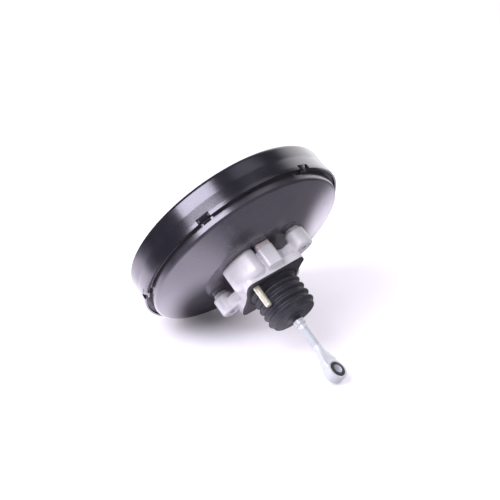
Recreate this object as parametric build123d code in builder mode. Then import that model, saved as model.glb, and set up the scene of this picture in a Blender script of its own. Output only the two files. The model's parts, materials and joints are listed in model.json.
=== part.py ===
"""Vacuum brake booster, 10 inch single diaphragm, with a cast spacer bracket.

The booster axis lies along Y. The pedal side, with the pushrod, looks to -Y, and the
master cylinder side looks to +Y. The origin is the centre of the bulkhead mounting face.
Radii are measured from the booster axis. All sizes are in millimetres.
"""
from math import atan2, cos, degrees, radians, sin
from os import makedirs

from build123d import *

# ---- clearances ------------------------------------------------------------------------
RUN_FIT = 0.05          # radial clearance of a piece that slides or turns in its bore
SOFT_GAP = 0.3          # gap between a soft or loose piece and what carries it
BOLT_GAP = 0.4          # radial clearance of a bolt hole

# ---- gasket and spacer bracket ---------------------------------------------------------
GASKET_T = 2.0
BRACKET_DEPTH = 36.0
PLATE_T = 10.0
PLATE_W = 78.0
PLATE_H = 80.0
PLATE_CORNER = 8.0
RIGHT_WAIST = 5.0       # depth of the hollow in the plate's right side
LEFT_WAIST = 2.0
WAIST_R = 90.0
CORE_R = 38.0
CORE_DROP = 12.0        # how far the core's front face lies behind the bosses
BLOCK_R = 54.0          # outer radius of the two wide blocks
BLOCK_INNER_R = 30.0
BLOCK_FROM = 103.0      # degrees from +X towards +Z
BLOCK_TO = 163.0
BLOCK_CORNER = 10.0
BLOCK_EDGE = 8.0        # rounding of the block's rear edges
BLOCK_REAR = 4.0        # how far the block ends in front of the plate's rear face
COLUMN_W = 20.0
COLUMN_TOP = 50.0
COLUMN_X = 2.5
COLUMN_CORNER = 3.5
PAD_T = 6.0
PAD_MARGIN = 1.0
LUG_INSET_X = 24.0      # from the edge of the rear shell's flat seat to the screw
LUG_INSET_Z = 34.0
LUG_R = 12.5
LUG_EDGE = 3.0
LUG_FRONT = 5.0         # from the shell to the lug's front face
LUG_BOSS_R = 9.0        # boss between the lug and the shell
LUG_REAR = 9.0          # how far the lug's rear face lies in front of the plate's
LUG_WEB_W = 21.0
LUG_WEB_DROP = 13.0
BOOT_SEAT_R = 31.5
BOOT_SEAT_DEPTH = 10.0
GASKET_MARGIN = 0.5

# ---- pressed steel shells --------------------------------------------------------------
SHEET = 2.0
NECK_R = 27.0
NECK_LIP_R = 23.0
NECK_REAR_Y = 4.0
NECK_BEND = 3.0
SEAT_R = 70.0
CORNER_RISE = 16.5      # from the seat to the theoretical corner of the side wall
CORNER_BEND = 8.0
SEAM_RISE = 27.0        # from the seat to the seam
SEAM_BEND = 2.5
COLLAR_R = 134.5
COLLAR_L = 7.0
FLANGE_W = 5.2          # width of the rear shell's seam flange outside its side wall
JOGGLE_L = 4.0
JOGGLE_BEND = 3.0
SKIRT_DROP = 2.5        # how far the skirt lies inside the collar
SKIRT_L = 39.0          # from the seam to the front shoulder
SHOULDER_BEND = 8.0
STEP_R = 76.0
FRONT_SEAT_R = 60.0
FRONT_SEAT_RISE = 14.0
STEP_BEND = 6.0
OPENING_R = 31.0        # bore of the turned-in edge of the front opening
OPENING_L = 8.0
OPENING_BEND = 3.0

# ---- crimp tabs around the seam --------------------------------------------------------
TAB_COUNT = 6
TAB_START = 117.5       # degrees from +X towards +Z
TAB_W = 11.0
SLIT_W = 3.0
SLIT_L = 6.0
TAB_REACH = 2.9         # how far a tab reaches in behind the flange

# ---- stiffening plates inside the shells -----------------------------------------------
STIFFENER_T = 2.5
REAR_STIFFENER_DROP = 2.0   # how far the plate ends inside the flat seat
REAR_STIFFENER_BORE = 35.0
FRONT_STIFFENER_DROP = 4.0

# ---- fixings ---------------------------------------------------------------------------
STUD_R = 4.0
STUD_SHANK_R = 4.3      # plain shank between the head and the mounting face
STUD_X = -27.0
STUD_Z = 27.0
STUD_OUT = 26.0
STUD_TIP = 1.2
HEAD_R = 7.5
HEAD_T = 3.0
SCREW_R = 4.0
SCREW_HEAD_R = 6.5
SCREW_HEAD_L = 8.0
SCREW_SOCKET = 6.0      # across flats
SCREW_SOCKET_DEPTH = 4.5
NUT_FLATS = 13.0
NUT_T = 6.0
CYLINDER_STUD_PITCH = 82.0
CYLINDER_STUD_OUT = 22.0
CYLINDER_HEAD_R = 6.4

# ---- diaphragm and its plate -----------------------------------------------------------
FILM_T = 1.6
FILM_AT = 17.0           # every _AT is measured from the inner face of the rear shell
FILM_MARGIN = 4.5       # from the inside of the side wall to the fold
FILM_RISE = 12.0
FILM_LEAN = 3.0
FILM_BEND = 3.0
BEAD_W = 5.1
BEAD_T = 4.2
DISC_T = 1.6
DISC_MARGIN = 10.5      # from the fold of the diaphragm to the plate's rim
DISC_RIM = 8.3
DISC_BEND = 2.5
DISH_R = 60.0
DISH_RISE = 4.0
DISH_MARGIN = 9.0

# ---- valve body ------------------------------------------------------------------------
TAIL_R = 20.0
TAIL_REAR_Y = -36.0
TAIL_BORE_R = 15.5
STOP_BORE_R = 14.6      # narrower bore in front of the poppet's bead
STOP_BORE_AT = -29.8
CHAMBER_AT = -14.0
CHAMBER_R = 10.5
VACUUM_SEAT_R = 11.0
VACUUM_SEAT_W = 1.4
VACUUM_SEAT_H = 1.1
PLUNGER_BORE_AT = -10.0
HUB_AT = 7.0
HUB_R = 33.0
HUB_CONE = 3.0
SPIGOT_R = 28.0
SPIGOT_L = 11.0
NOSE_R = 17.0
NOSE_L = 8.0
NOSE_EDGE = 1.0
CUP_R = 13.0
CUP_AT = 23.0
PASSAGE_R = 2.0
PASSAGE_OFF = 14.5
POCKET_R = 24.0
POCKET_W = 5.0
POCKET_H = 9.8
POCKET_AT = 14.0
KEY_AT = 0.3
KEY_T = 2.5
KEY_W = 16.0
KEY_REACH = 33.0
KEY_HEEL = 8.0
KEY_GAP = 0.3

# ---- plunger, input rod and its valve --------------------------------------------------
VALVE_TRAVEL = 1.5
PLUNGER_R = 7.0
PLUNGER_WAIST_R = 5.2
PLUNGER_STEM_R = 6.0
LAND_AT = -7.0
PLUNGER_NOSE_AT = 17.8
PLUNGER_NOSE_R = 5.0
PLUNGER_NOSE_L = 3.5
AIR_SEAT_R = 9.5
AIR_SEAT_AT = -15.6
AIR_SEAT_T = 2.0
SOCKET_R = 7.6
SOCKET_REAR_AT = -29.0
SOCKET_MOUTH_R = 3.9
BALL_AT = -23.0
BALL_R = 4.4
BALL_NECK_R = 2.7
ROD_R = 5.0
ROD_SHOULDER_AT = -32.0
POPPET_FACE_AT = -15.8
POPPET_BORE_R = 8.3
POPPET_LIP_R = 13.0
POPPET_LIP_T = 2.2
POPPET_TUBE_R = 10.8
POPPET_WALL = 1.0
POPPET_FLARE = 3.0
POPPET_BEAD_R = 13.6
POPPET_BEAD_L = 4.0
POPPET_RING_T = 2.4
POPPET_RING_BORE = 11.0
SPRING_SEAT_Y = -14.0
SPRING_SEAT_T = 2.0
SPRING_SEAT_R = 10.5
FILTER_Y = -24.0
FILTER_L = 8.5
FILTER_BORE = 7.6
SILENCER_L = 7.7
SILENCER_BORE = 8.4
TAIL_CAP_T = 3.0
TAIL_CAP_BORE = 9.0

# ---- rod eye ---------------------------------------------------------------------------
EYE_Y = -124.0
EYE_R = 12.5
EYE_T = 12.0
EYE_BORE_R = 9.6
EYE_TURN = 58.0         # degrees of the eye's bore from +X towards +Z
PADDLE_Y = -92.0
PADDLE_BLEND = 18.0
PADDLE_W = 22.0
PADDLE_CORNER = 3.0
EYE_EDGE = 0.6
BUSH_T = 12.8
SLEEVE_R = 6.3
SLEEVE_BORE_R = 5.05
SLEEVE_T = 13.4

# ---- boot ------------------------------------------------------------------------------
BOOT_WALL = 1.4
BOOT_BEND = 1.6
BOOT_COLLAR_R = 31.2
BOOT_ROOT_R = 26.3
BOOT_CREST_R = 31.6
BOOT_FOLDS = 4
BOOT_PITCH = 9.2
BOOT_FIRST_CREST = 8.5
BOOT_END_Y = -40.0
BOOT_END_R = 30.5
BOOT_CAP_Y = -44.0
BOOT_LIP_R = 7.0
BOOT_LIP_Y = -50.0
BOOT_BEAD_L = 6.0
CLIP_R = 6.8
CLIP_L = 6.5
CLIP_CHAMFER = 1.0

# ---- seal and guide in the neck --------------------------------------------------------
GUIDE_L = 7.5
GUIDE_CHAMFER = 1.2
SEAL_L = 6.5
SEAL_LIP_T = 1.2
SEAL_GROOVE = 4.0
SEAL_RING_T = 1.5

# ---- output side -----------------------------------------------------------------------
REACTION_T = 3.0
PUSH_HEAD_T = 4.0
PUSH_ROD_R = 6.0
PUSH_ROD_L = 56.0
PUSH_SCREW_R = 4.0
PUSH_SCREW_FLATS = 10.0
PUSH_SCREW_HEAD_L = 7.0
PUSH_SCREW_L = 12.0
PUSH_SCREW_GAP = 1.0
PUSH_DOME_L = 2.5
CATCH_T = 0.8
CATCH_BORE = 9.0
CATCH_BEND = 1.5
FRONT_SEAL_L = 7.0
FRONT_SEAL_BORE = 26.5

# ---- springs ---------------------------------------------------------------------------
RETURN_WIRE_R = 2.0
RETURN_REAR_R = 33.0
RETURN_FRONT_R = 52.0
RETURN_TURNS = 4
ROD_WIRE_R = 0.6
ROD_TURNS = 5
ROD_COIL_REAR_R = 9.0
ROD_COIL_FRONT_R = 12.5
POPPET_WIRE_R = 0.4
POPPET_TURNS = 4
POPPET_COIL_REAR_R = 14.0
POPPET_COIL_FRONT_R = 12.0
CHECK_WIRE_R = 0.35
CHECK_TURNS = 4
CHECK_COIL_R = 4.0

# ---- vacuum check valve ----------------------------------------------------------------
CHECK_SHARE = 0.375     # of the way from the step to the skirt
CHECK_ANGLE = -20.0     # degrees from +X towards +Z
GROMMET_R = 14.0
GROMMET_NECK_R = 11.0
GROMMET_LIP_T = 2.6
CHECK_STEM_R = 8.0
CHECK_FLANGE_R = 12.5
CHECK_FLANGE_T = 2.5
CHECK_BARREL_R = 9.5
CHECK_BARREL_L = 9.0
CHECK_CHAMBER_R = 7.4
CHECK_SEAT_R = 3.4
CHECK_DISC_R = 5.6
CHECK_DISC_T = 1.4
NOZZLE_R = 4.8
NOZZLE_BORE_R = 3.0
NOZZLE_L = 22.0
BARB_RISE = 0.7
BARB_COUNT = 3
BARB_PITCH = 4.0
CHECK_BARB_L = 3.0
CHECK_PLUG_L = 1.5
CHECK_SEAT_DEPTH = 1.0    # of the disc's seat inside the flange

# ---- places along the axis that follow from the sizes above ----------------------------
SEAT_Y = GASKET_T + BRACKET_DEPTH
SEAM_Y = SEAT_Y + SEAM_RISE
SHOULDER_Y = SEAM_Y + SKIRT_L
FRONT_Y = SHOULDER_Y + FRONT_SEAT_RISE
INNER_SEAT_Y = SEAT_Y + SHEET
INNER_FRONT_Y = FRONT_Y - SHEET
FILM_Y = INNER_SEAT_Y + FILM_AT
STOP_BORE_Y = INNER_SEAT_Y + STOP_BORE_AT
CHAMBER_Y = INNER_SEAT_Y + CHAMBER_AT
PLUNGER_BORE_Y = INNER_SEAT_Y + PLUNGER_BORE_AT
HUB_Y = INNER_SEAT_Y + HUB_AT
CUP_Y = INNER_SEAT_Y + CUP_AT
POCKET_Y = INNER_SEAT_Y + POCKET_AT
KEY_Y = INNER_SEAT_Y + KEY_AT
LAND_Y = INNER_SEAT_Y + LAND_AT
PLUNGER_NOSE_Y = INNER_SEAT_Y + PLUNGER_NOSE_AT
AIR_SEAT_Y = INNER_SEAT_Y + AIR_SEAT_AT
SOCKET_REAR_Y = INNER_SEAT_Y + SOCKET_REAR_AT
BALL_Y = INNER_SEAT_Y + BALL_AT
ROD_SHOULDER_Y = INNER_SEAT_Y + ROD_SHOULDER_AT
POPPET_FACE_Y = INNER_SEAT_Y + POPPET_FACE_AT
LUG_X = SEAT_R - LUG_INSET_X
LUG_Z = SEAT_R - LUG_INSET_Z
FLANGE_R = COLLAR_R - SHEET - SOFT_GAP
WALL_R = FLANGE_R - FLANGE_W
SKIRT_R = COLLAR_R - SKIRT_DROP
TAB_INNER_R = COLLAR_R - SHEET - TAB_REACH
REAR_STIFFENER_R = SEAT_R - REAR_STIFFENER_DROP
FRONT_STIFFENER_R = FRONT_SEAT_R - FRONT_STIFFENER_DROP
FILM_FOLD_R = WALL_R - SHEET - FILM_MARGIN
BEAD_R = FLANGE_R - SOFT_GAP - BEAD_W
DISC_R = FILM_FOLD_R - DISC_MARGIN
PLATE_FRONT_Y = GASKET_T + PLATE_T
STUD_SPOTS = [(STUD_X, STUD_Z), (-STUD_X, -STUD_Z)]
LUG_SPOTS = [(LUG_X, LUG_Z), (-LUG_X, -LUG_Z)]
DISC_Y = FILM_Y + FILM_T
NOSE_Y = DISC_Y + SPIGOT_L
CHECK_OFF = STEP_R + CHECK_SHARE * (SKIRT_R - STEP_R)
CHECK_X = CHECK_OFF * cos(radians(CHECK_ANGLE))
CHECK_Z = CHECK_OFF * sin(radians(CHECK_ANGLE))
CHECK_SPOTS = [(CHECK_X, CHECK_Z)]
CYLINDER_SPOTS = [(-CYLINDER_STUD_PITCH / 2, 0), (CYLINDER_STUD_PITCH / 2, 0)]
SCREW_HOLE_R = SCREW_R + BOLT_GAP
NECK_FIT_R = NECK_R - SHEET - RUN_FIT
GUIDE_Y = NECK_REAR_Y + SHEET
SEAL_Y = GUIDE_Y + GUIDE_L
PUSH_HEAD_Y = CUP_Y + REACTION_T
PUSH_TIP_Y = PUSH_HEAD_Y + PUSH_ROD_L + PUSH_SCREW_GAP
POPPET_LIP_Y = POPPET_FACE_Y - POPPET_LIP_T
POPPET_BEAD_Y = STOP_BORE_Y - SOFT_GAP
EYE_PLANE = Plane(origin=(0, EYE_Y, 0),
                  z_dir=(cos(radians(EYE_TURN)), 0, sin(radians(EYE_TURN))))
INNER_SHOULDER_Y = SHOULDER_Y - SHEET
GROMMET_IN_Y = INNER_SHOULDER_Y - GROMMET_LIP_T
GROMMET_OUT_Y = SHOULDER_Y + GROMMET_LIP_T
CHECK_SEAT_Y = GROMMET_OUT_Y + CHECK_FLANGE_T - CHECK_SEAT_DEPTH
CHECK_TOP_Y = GROMMET_OUT_Y + CHECK_FLANGE_T + CHECK_BARREL_L
NOZZLE_END_Y = CHECK_TOP_Y + CHECK_FLANGE_T + NOZZLE_L
CHECK_PLACE = Location((CHECK_X, 0, CHECK_Z))
CHECK_AXIS = Axis((CHECK_X, 0, CHECK_Z), (0, 1, 0))
SCREW_SEAT_Y = GASKET_T + LUG_REAR + SCREW_HEAD_L + BOLT_GAP


def station(y, turn=0):
    """Plane across the axis at y, turned from +X to +Z. Its normal looks to the pedal side."""
    outward = (cos(radians(turn)), 0, sin(radians(turn)))
    return Plane(origin=(0, y, 0), x_dir=outward, z_dir=(0, -1, 0))


def radial_plane(angle):
    """Plane that holds the axis, turned by angle from +X to +Z: x is the radius, y is Y."""
    outward = (cos(radians(angle)), 0, sin(radians(angle)))
    sideways = (-sin(radians(angle)), 0, cos(radians(angle)))
    return Plane(origin=(0, 0, 0), x_dir=outward, z_dir=sideways)


def sheet_line(points, bends, thickness, side):
    """Line of a pressed sheet with its bends, closed by a copy one thickness away."""
    FilletPolyline(*points, radius=bends)
    offset(amount=thickness, side=side)


def circles(radius, front_y, spots):
    """Circles across the axis, for pins and holes that run to the pedal side."""
    with BuildSketch(station(front_y)) as sketch:
        with Locations(*spots):
            Circle(radius)
    return sketch.sketch


def annulus(outer, bore, front_y):
    """Flat ring across the axis, for rings that run to the pedal side."""
    with BuildSketch(station(front_y)) as sketch:
        Circle(outer)
        Circle(bore, mode=Mode.SUBTRACT)
    return sketch.sketch


def coil_line(rear_y, front_y, rear_radius, front_radius, wire, turns):
    """Centre line of a spring whose wire lies just inside its two end faces."""
    rise = front_y - rear_y - 2 * wire
    lean = degrees(atan2(front_radius - rear_radius, rise))
    with BuildLine() as line:
        Helix(pitch=rise / turns, height=rise, radius=rear_radius, center=(0, rear_y + wire, 0),
              direction=(0, 1, 0), cone_angle=lean)
    return line.line


def save(piece, name):
    """Name the piece and write its file."""
    piece.part.label = name
    export_step(piece.part, f"parts/{name}.step")


makedirs("parts", exist_ok=True)


# ======== shells ========================================================================

# Rear shell: neck with a turned-in lip, flat seat, cone, side wall and seam flange.
with BuildPart() as rear_shell:
    with BuildSketch(Plane.XY):
        with BuildLine():
            sheet_line([(NECK_LIP_R, NECK_REAR_Y), (NECK_R, NECK_REAR_Y), (NECK_R, SEAT_Y),
                        (SEAT_R, SEAT_Y), (WALL_R, SEAT_Y + CORNER_RISE), (WALL_R, SEAM_Y),
                        (FLANGE_R, SEAM_Y)],
                       (NECK_BEND, NECK_BEND, NECK_BEND, CORNER_BEND, SEAM_BEND),
                       SHEET, Side.LEFT)
        make_face()
    revolve(axis=Axis.Y)
    extrude(circles(STUD_SHANK_R, INNER_SEAT_Y, STUD_SPOTS), amount=SHEET, mode=Mode.SUBTRACT)
    extrude(circles(SCREW_HOLE_R, INNER_SEAT_Y, LUG_SPOTS), amount=SHEET, mode=Mode.SUBTRACT)
save(rear_shell, "rear_shell")

# Front shell: collar over the seam, skirt, shoulder, raised seat and turned-in opening.
with BuildPart() as front_shell:
    with BuildSketch(Plane.XY):
        with BuildLine():
            sheet_line([(COLLAR_R, SEAM_Y), (COLLAR_R, SEAM_Y + COLLAR_L),
                        (SKIRT_R, SEAM_Y + COLLAR_L + JOGGLE_L), (SKIRT_R, SHOULDER_Y),
                        (STEP_R, SHOULDER_Y), (FRONT_SEAT_R, FRONT_Y), (OPENING_R, FRONT_Y),
                        (OPENING_R, FRONT_Y - OPENING_L)],
                       (JOGGLE_BEND, JOGGLE_BEND, SHOULDER_BEND, STEP_BEND, STEP_BEND,
                        OPENING_BEND),
                       SHEET, Side.LEFT)
        make_face()
    revolve(axis=Axis.Y)
    for tab in range(TAB_COUNT):
        tab_plane = radial_plane(TAB_START + tab * 360 / TAB_COUNT)
        # a slit on each side of the tab
        for side in (-1, 1):
            with BuildSketch(tab_plane.offset(side * (TAB_W + SLIT_W) / 2)):
                with Locations((COLLAR_R, SEAM_Y)):
                    Rectangle(4 * SHEET, 2 * SLIT_L)
            extrude(amount=SLIT_W / 2, both=True, mode=Mode.SUBTRACT)
        # the tab itself, bent in behind the flange of the rear shell
        with BuildSketch(tab_plane):
            with BuildLine():
                Polyline((COLLAR_R, SEAM_Y), (COLLAR_R, SEAM_Y + SHEET),
                         (COLLAR_R - SHEET, SEAM_Y + SHEET), (COLLAR_R - SHEET, SEAM_Y),
                         (TAB_INNER_R, SEAM_Y), (TAB_INNER_R, SEAM_Y - SHEET),
                         (COLLAR_R - SHEET, SEAM_Y - SHEET))
                CenterArc((COLLAR_R - SHEET, SEAM_Y), SHEET, -90, 90)
            make_face()
        extrude(amount=TAB_W / 2, both=True)
    extrude(circles(GROMMET_NECK_R, SHOULDER_Y, CHECK_SPOTS), amount=SHEET, mode=Mode.SUBTRACT)
    extrude(circles(STUD_SHANK_R, FRONT_Y, CYLINDER_SPOTS), amount=SHEET, mode=Mode.SUBTRACT)
save(front_shell, "front_shell")

# Stiffening plate under the heads of the bulkhead studs.
with BuildPart() as rear_stiffener:
    extrude(annulus(REAR_STIFFENER_R, REAR_STIFFENER_BORE, INNER_SEAT_Y + STIFFENER_T),
            amount=STIFFENER_T)
    extrude(circles(STUD_SHANK_R, INNER_SEAT_Y + STIFFENER_T, STUD_SPOTS), amount=STIFFENER_T,
            mode=Mode.SUBTRACT)
    extrude(circles(SCREW_HOLE_R, INNER_SEAT_Y + STIFFENER_T, LUG_SPOTS), amount=STIFFENER_T,
            mode=Mode.SUBTRACT)
save(rear_stiffener, "rear_stiffener")

# Stiffening plate under the heads of the master cylinder studs.
with BuildPart() as front_stiffener:
    extrude(annulus(FRONT_STIFFENER_R, OPENING_R + OPENING_BEND, INNER_FRONT_Y),
            amount=STIFFENER_T)
    extrude(circles(STUD_SHANK_R, INNER_FRONT_Y, CYLINDER_SPOTS), amount=STIFFENER_T,
            mode=Mode.SUBTRACT)
save(front_stiffener, "front_stiffener")


# ======== spacer bracket ================================================================

def plate_outline(front_y, margin=0):
    """Rounded plate with a hollow in each side, smaller all round by margin."""
    with BuildSketch(station(front_y)) as sketch:
        RectangleRounded(PLATE_W - 2 * margin, PLATE_H - 2 * margin, PLATE_CORNER - margin)
        with Locations((PLATE_W / 2 - RIGHT_WAIST + WAIST_R, 0),
                       (LEFT_WAIST - PLATE_W / 2 - WAIST_R, 0)):
            Circle(WAIST_R + margin, mode=Mode.SUBTRACT)
    return sketch.sketch


def block_outline(plane):
    """Wide block that follows the bolt circle, with its two outer corners rounded."""
    with BuildSketch(plane) as sketch:
        with BuildLine():
            inner = CenterArc((0, 0), BLOCK_INNER_R, BLOCK_FROM, BLOCK_TO - BLOCK_FROM)
            outer = CenterArc((0, 0), BLOCK_R, BLOCK_FROM, BLOCK_TO - BLOCK_FROM)
            Line(inner @ 0, outer @ 0)
            Line(inner @ 1, outer @ 1)
        make_face()
        fillet(sketch.vertices().group_by(SortBy.DISTANCE)[-1], BLOCK_CORNER)
    return sketch.sketch


def web_outline(plane):
    """Band from the axis to the lug."""
    with BuildSketch(plane) as sketch:
        reach = (LUG_X ** 2 + LUG_Z ** 2) ** 0.5
        with Locations(Location((LUG_X / 2, LUG_Z / 2), degrees(atan2(LUG_Z, LUG_X)))):
            Rectangle(reach, LUG_WEB_W)
    return sketch.sketch


def lug_circle(plane, radius):
    """Circle around the screw of the lug."""
    with BuildSketch(plane) as sketch:
        with Locations((LUG_X, LUG_Z)):
            Circle(radius)
    return sketch.sketch


def rounded_form(outline, depth, edge):
    """Raised form of the casting, with the edges of its rear face rounded."""
    with BuildPart() as form:
        extrude(outline, amount=depth)
        fillet(form.faces().sort_by(Axis.Y)[0].edges(), edge)
    return form.part


# Cast spacer: plate, core, and on each half a wide block, a column, and a lug with its web.
with BuildPart() as bracket:
    extrude(plate_outline(PLATE_FRONT_Y), amount=PLATE_T)
    extrude(circles(CORE_R, SEAT_Y - CORE_DROP, [(0, 0)]), amount=BRACKET_DEPTH - CORE_DROP)
    for half in (0, 180):
        add(rounded_form(block_outline(station(SEAT_Y, half)), BRACKET_DEPTH - BLOCK_REAR,
                         BLOCK_EDGE))
        add(rounded_form(lug_circle(station(SEAT_Y - LUG_FRONT, half), LUG_R),
                         BRACKET_DEPTH - LUG_FRONT - LUG_REAR, LUG_EDGE))
        extrude(lug_circle(station(SEAT_Y, half), LUG_BOSS_R), amount=2 * LUG_FRONT)
        extrude(web_outline(station(SEAT_Y - LUG_WEB_DROP, half)),
                amount=BRACKET_DEPTH - LUG_WEB_DROP - LUG_REAR)
        with BuildSketch(station(SEAT_Y - PAD_T, half)):
            with Locations((COLUMN_X, (COLUMN_TOP + BLOCK_INNER_R) / 2)):
                RectangleRounded(COLUMN_W, COLUMN_TOP - BLOCK_INNER_R, COLUMN_CORNER)
        extrude(amount=BRACKET_DEPTH - PAD_T - PLATE_T / 2)
    # bore over the shell's neck, and the wider seat of the boot
    extrude(circles(NECK_R + BOLT_GAP, SEAT_Y, [(0, 0)]), amount=BRACKET_DEPTH,
            mode=Mode.SUBTRACT)
    extrude(circles(BOOT_SEAT_R, GASKET_T + BOOT_SEAT_DEPTH, [(0, 0)]), amount=BOOT_SEAT_DEPTH,
            mode=Mode.SUBTRACT)
    extrude(circles(STUD_SHANK_R + BOLT_GAP, SEAT_Y, STUD_SPOTS), amount=BRACKET_DEPTH,
            mode=Mode.SUBTRACT)
    # screw holes through the lugs, with sunk seats for the heads
    extrude(circles(SCREW_HOLE_R, SEAT_Y, LUG_SPOTS), amount=BRACKET_DEPTH, mode=Mode.SUBTRACT)
    extrude(circles(SCREW_HEAD_R + BOLT_GAP, SCREW_SEAT_Y, LUG_SPOTS),
            amount=SCREW_HEAD_L + BOLT_GAP, mode=Mode.SUBTRACT)
save(bracket, "bracket")

# Pads between the two columns and the rear shell.
with BuildPart() as column_pads:
    for half in (0, 180):
        with BuildSketch(station(SEAT_Y, half)):
            with Locations((COLUMN_X, (COLUMN_TOP + BLOCK_INNER_R) / 2)):
                RectangleRounded(COLUMN_W - 2 * PAD_MARGIN,
                                 COLUMN_TOP - BLOCK_INNER_R - 2 * PAD_MARGIN,
                                 COLUMN_CORNER - PAD_MARGIN)
        extrude(amount=PAD_T)
save(column_pads, "column_pads")

# Gasket between the spacer bracket and the bulkhead.
with BuildPart() as gasket:
    extrude(plate_outline(GASKET_T, GASKET_MARGIN), amount=GASKET_T)
    extrude(circles(BOOT_SEAT_R, GASKET_T, [(0, 0)]), amount=GASKET_T, mode=Mode.SUBTRACT)
    extrude(circles(STUD_SHANK_R + BOLT_GAP, GASKET_T, STUD_SPOTS), amount=GASKET_T,
            mode=Mode.SUBTRACT)
save(gasket, "gasket")


# ======== fixings =======================================================================

# Bulkhead studs: headed, through the shell and the bracket, with pointed ends.
with BuildPart() as bulkhead_studs:
    head_front_y = INNER_SEAT_Y + STIFFENER_T + HEAD_T
    extrude(circles(HEAD_R, head_front_y, STUD_SPOTS), amount=HEAD_T)
    extrude(circles(STUD_SHANK_R, head_front_y, STUD_SPOTS), amount=head_front_y)
    extrude(circles(STUD_R, 0, STUD_SPOTS), amount=STUD_OUT)
    chamfer(bulkhead_studs.faces().group_by(Axis.Y)[0].edges(), STUD_TIP)
save(bulkhead_studs, "bulkhead_studs")

# Master cylinder studs, with their heads inside the front shell.
with BuildPart() as cylinder_studs:
    head_rear_y = INNER_FRONT_Y - STIFFENER_T - HEAD_T
    extrude(circles(CYLINDER_HEAD_R, head_rear_y + HEAD_T, CYLINDER_SPOTS), amount=HEAD_T)
    extrude(circles(STUD_SHANK_R, FRONT_Y, CYLINDER_SPOTS), amount=FRONT_Y - head_rear_y)
    extrude(circles(STUD_R, FRONT_Y + CYLINDER_STUD_OUT, CYLINDER_SPOTS),
            amount=CYLINDER_STUD_OUT)
    chamfer(cylinder_studs.faces().group_by(Axis.Y)[-1].edges(), STUD_TIP)
save(cylinder_studs, "cylinder_studs")

# Socket-head screws that hold the bracket's lugs to the rear shell.
with BuildPart() as bracket_screws:
    screw_front_y = INNER_SEAT_Y + STIFFENER_T + NUT_T
    extrude(circles(SCREW_HEAD_R, SCREW_SEAT_Y, LUG_SPOTS), amount=SCREW_HEAD_L)
    extrude(circles(SCREW_R, screw_front_y, LUG_SPOTS), amount=screw_front_y - SCREW_SEAT_Y)
    with BuildSketch(station(SCREW_SEAT_Y - SCREW_HEAD_L + SCREW_SOCKET_DEPTH)):
        with Locations(*LUG_SPOTS):
            RegularPolygon(SCREW_SOCKET / 2, 6, major_radius=False)
    extrude(amount=SCREW_SOCKET_DEPTH, mode=Mode.SUBTRACT)
save(bracket_screws, "bracket_screws")

# Nuts welded inside the rear shell for the bracket screws.
with BuildPart() as bracket_nuts:
    with BuildSketch(station(INNER_SEAT_Y + STIFFENER_T + NUT_T)):
        with Locations(*LUG_SPOTS):
            RegularPolygon(NUT_FLATS / 2, 6, major_radius=False)
            Circle(SCREW_R + RUN_FIT, mode=Mode.SUBTRACT)
    extrude(amount=NUT_T)
save(bracket_nuts, "bracket_nuts")


# ======== seal and guide in the neck ====================================================

# Plastic guide that carries the valve body's tail.
with BuildPart() as neck_guide:
    extrude(annulus(NECK_FIT_R, TAIL_R + RUN_FIT, GUIDE_Y + GUIDE_L), amount=GUIDE_L)
    chamfer(neck_guide.edges().group_by(Axis.Y)[0].sort_by(SortBy.RADIUS)[-1], GUIDE_CHAMFER)
save(neck_guide, "neck_guide")

# Lip seal in front of the guide, with a groove that opens to the vacuum side.
with BuildPart() as neck_seal:
    extrude(annulus(NECK_FIT_R, TAIL_R + RUN_FIT, SEAL_Y + SEAL_L), amount=SEAL_L)
    extrude(annulus(NECK_FIT_R - SEAL_LIP_T, TAIL_R + RUN_FIT + SEAL_LIP_T, SEAL_Y + SEAL_L),
            amount=SEAL_GROOVE, mode=Mode.SUBTRACT)
save(neck_seal, "neck_seal")

# Steel ring that keeps the seal in the neck.
with BuildPart() as seal_ring:
    extrude(annulus(NECK_FIT_R, TAIL_R + SEAL_LIP_T, SEAL_Y + SEAL_L + SEAL_RING_T),
            amount=SEAL_RING_T)
save(seal_ring, "seal_ring")


# ======== power piston ==================================================================

# Rubber diaphragm: clamped bead at the seam, rolling fold, and film behind the plate.
with BuildPart() as diaphragm:
    with BuildSketch(Plane.XY):
        with BuildLine():
            sheet_line([(SPIGOT_R + SOFT_GAP, FILM_Y), (FILM_FOLD_R, FILM_Y),
                        (FILM_FOLD_R + FILM_LEAN, FILM_Y + FILM_RISE),
                        (BEAD_R + BEAD_T, FILM_Y + FILM_RISE)],
                       FILM_BEND, FILM_T, Side.LEFT)
        make_face()
    revolve(axis=Axis.Y)
    extrude(annulus(FLANGE_R - SOFT_GAP, BEAD_R, SEAM_Y + SHEET + BEAD_T), amount=BEAD_T)
save(diaphragm, "diaphragm")

# Pressed diaphragm plate with a raised dish and a turned-up rim.
with BuildPart() as diaphragm_plate:
    with BuildSketch(Plane.XY):
        with BuildLine():
            sheet_line([(SPIGOT_R + SOFT_GAP, DISC_Y), (DISH_R, DISC_Y),
                        (DISH_R + DISH_RISE, DISC_Y + DISH_RISE),
                        (DISC_R - DISH_MARGIN - DISH_RISE, DISC_Y + DISH_RISE),
                        (DISC_R - DISH_MARGIN, DISC_Y), (DISC_R, DISC_Y),
                        (DISC_R, DISC_Y + DISC_RIM)],
                       DISC_BEND, DISC_T, Side.LEFT)
        make_face()
    revolve(axis=Axis.Y)
save(diaphragm_plate, "diaphragm_plate")

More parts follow.
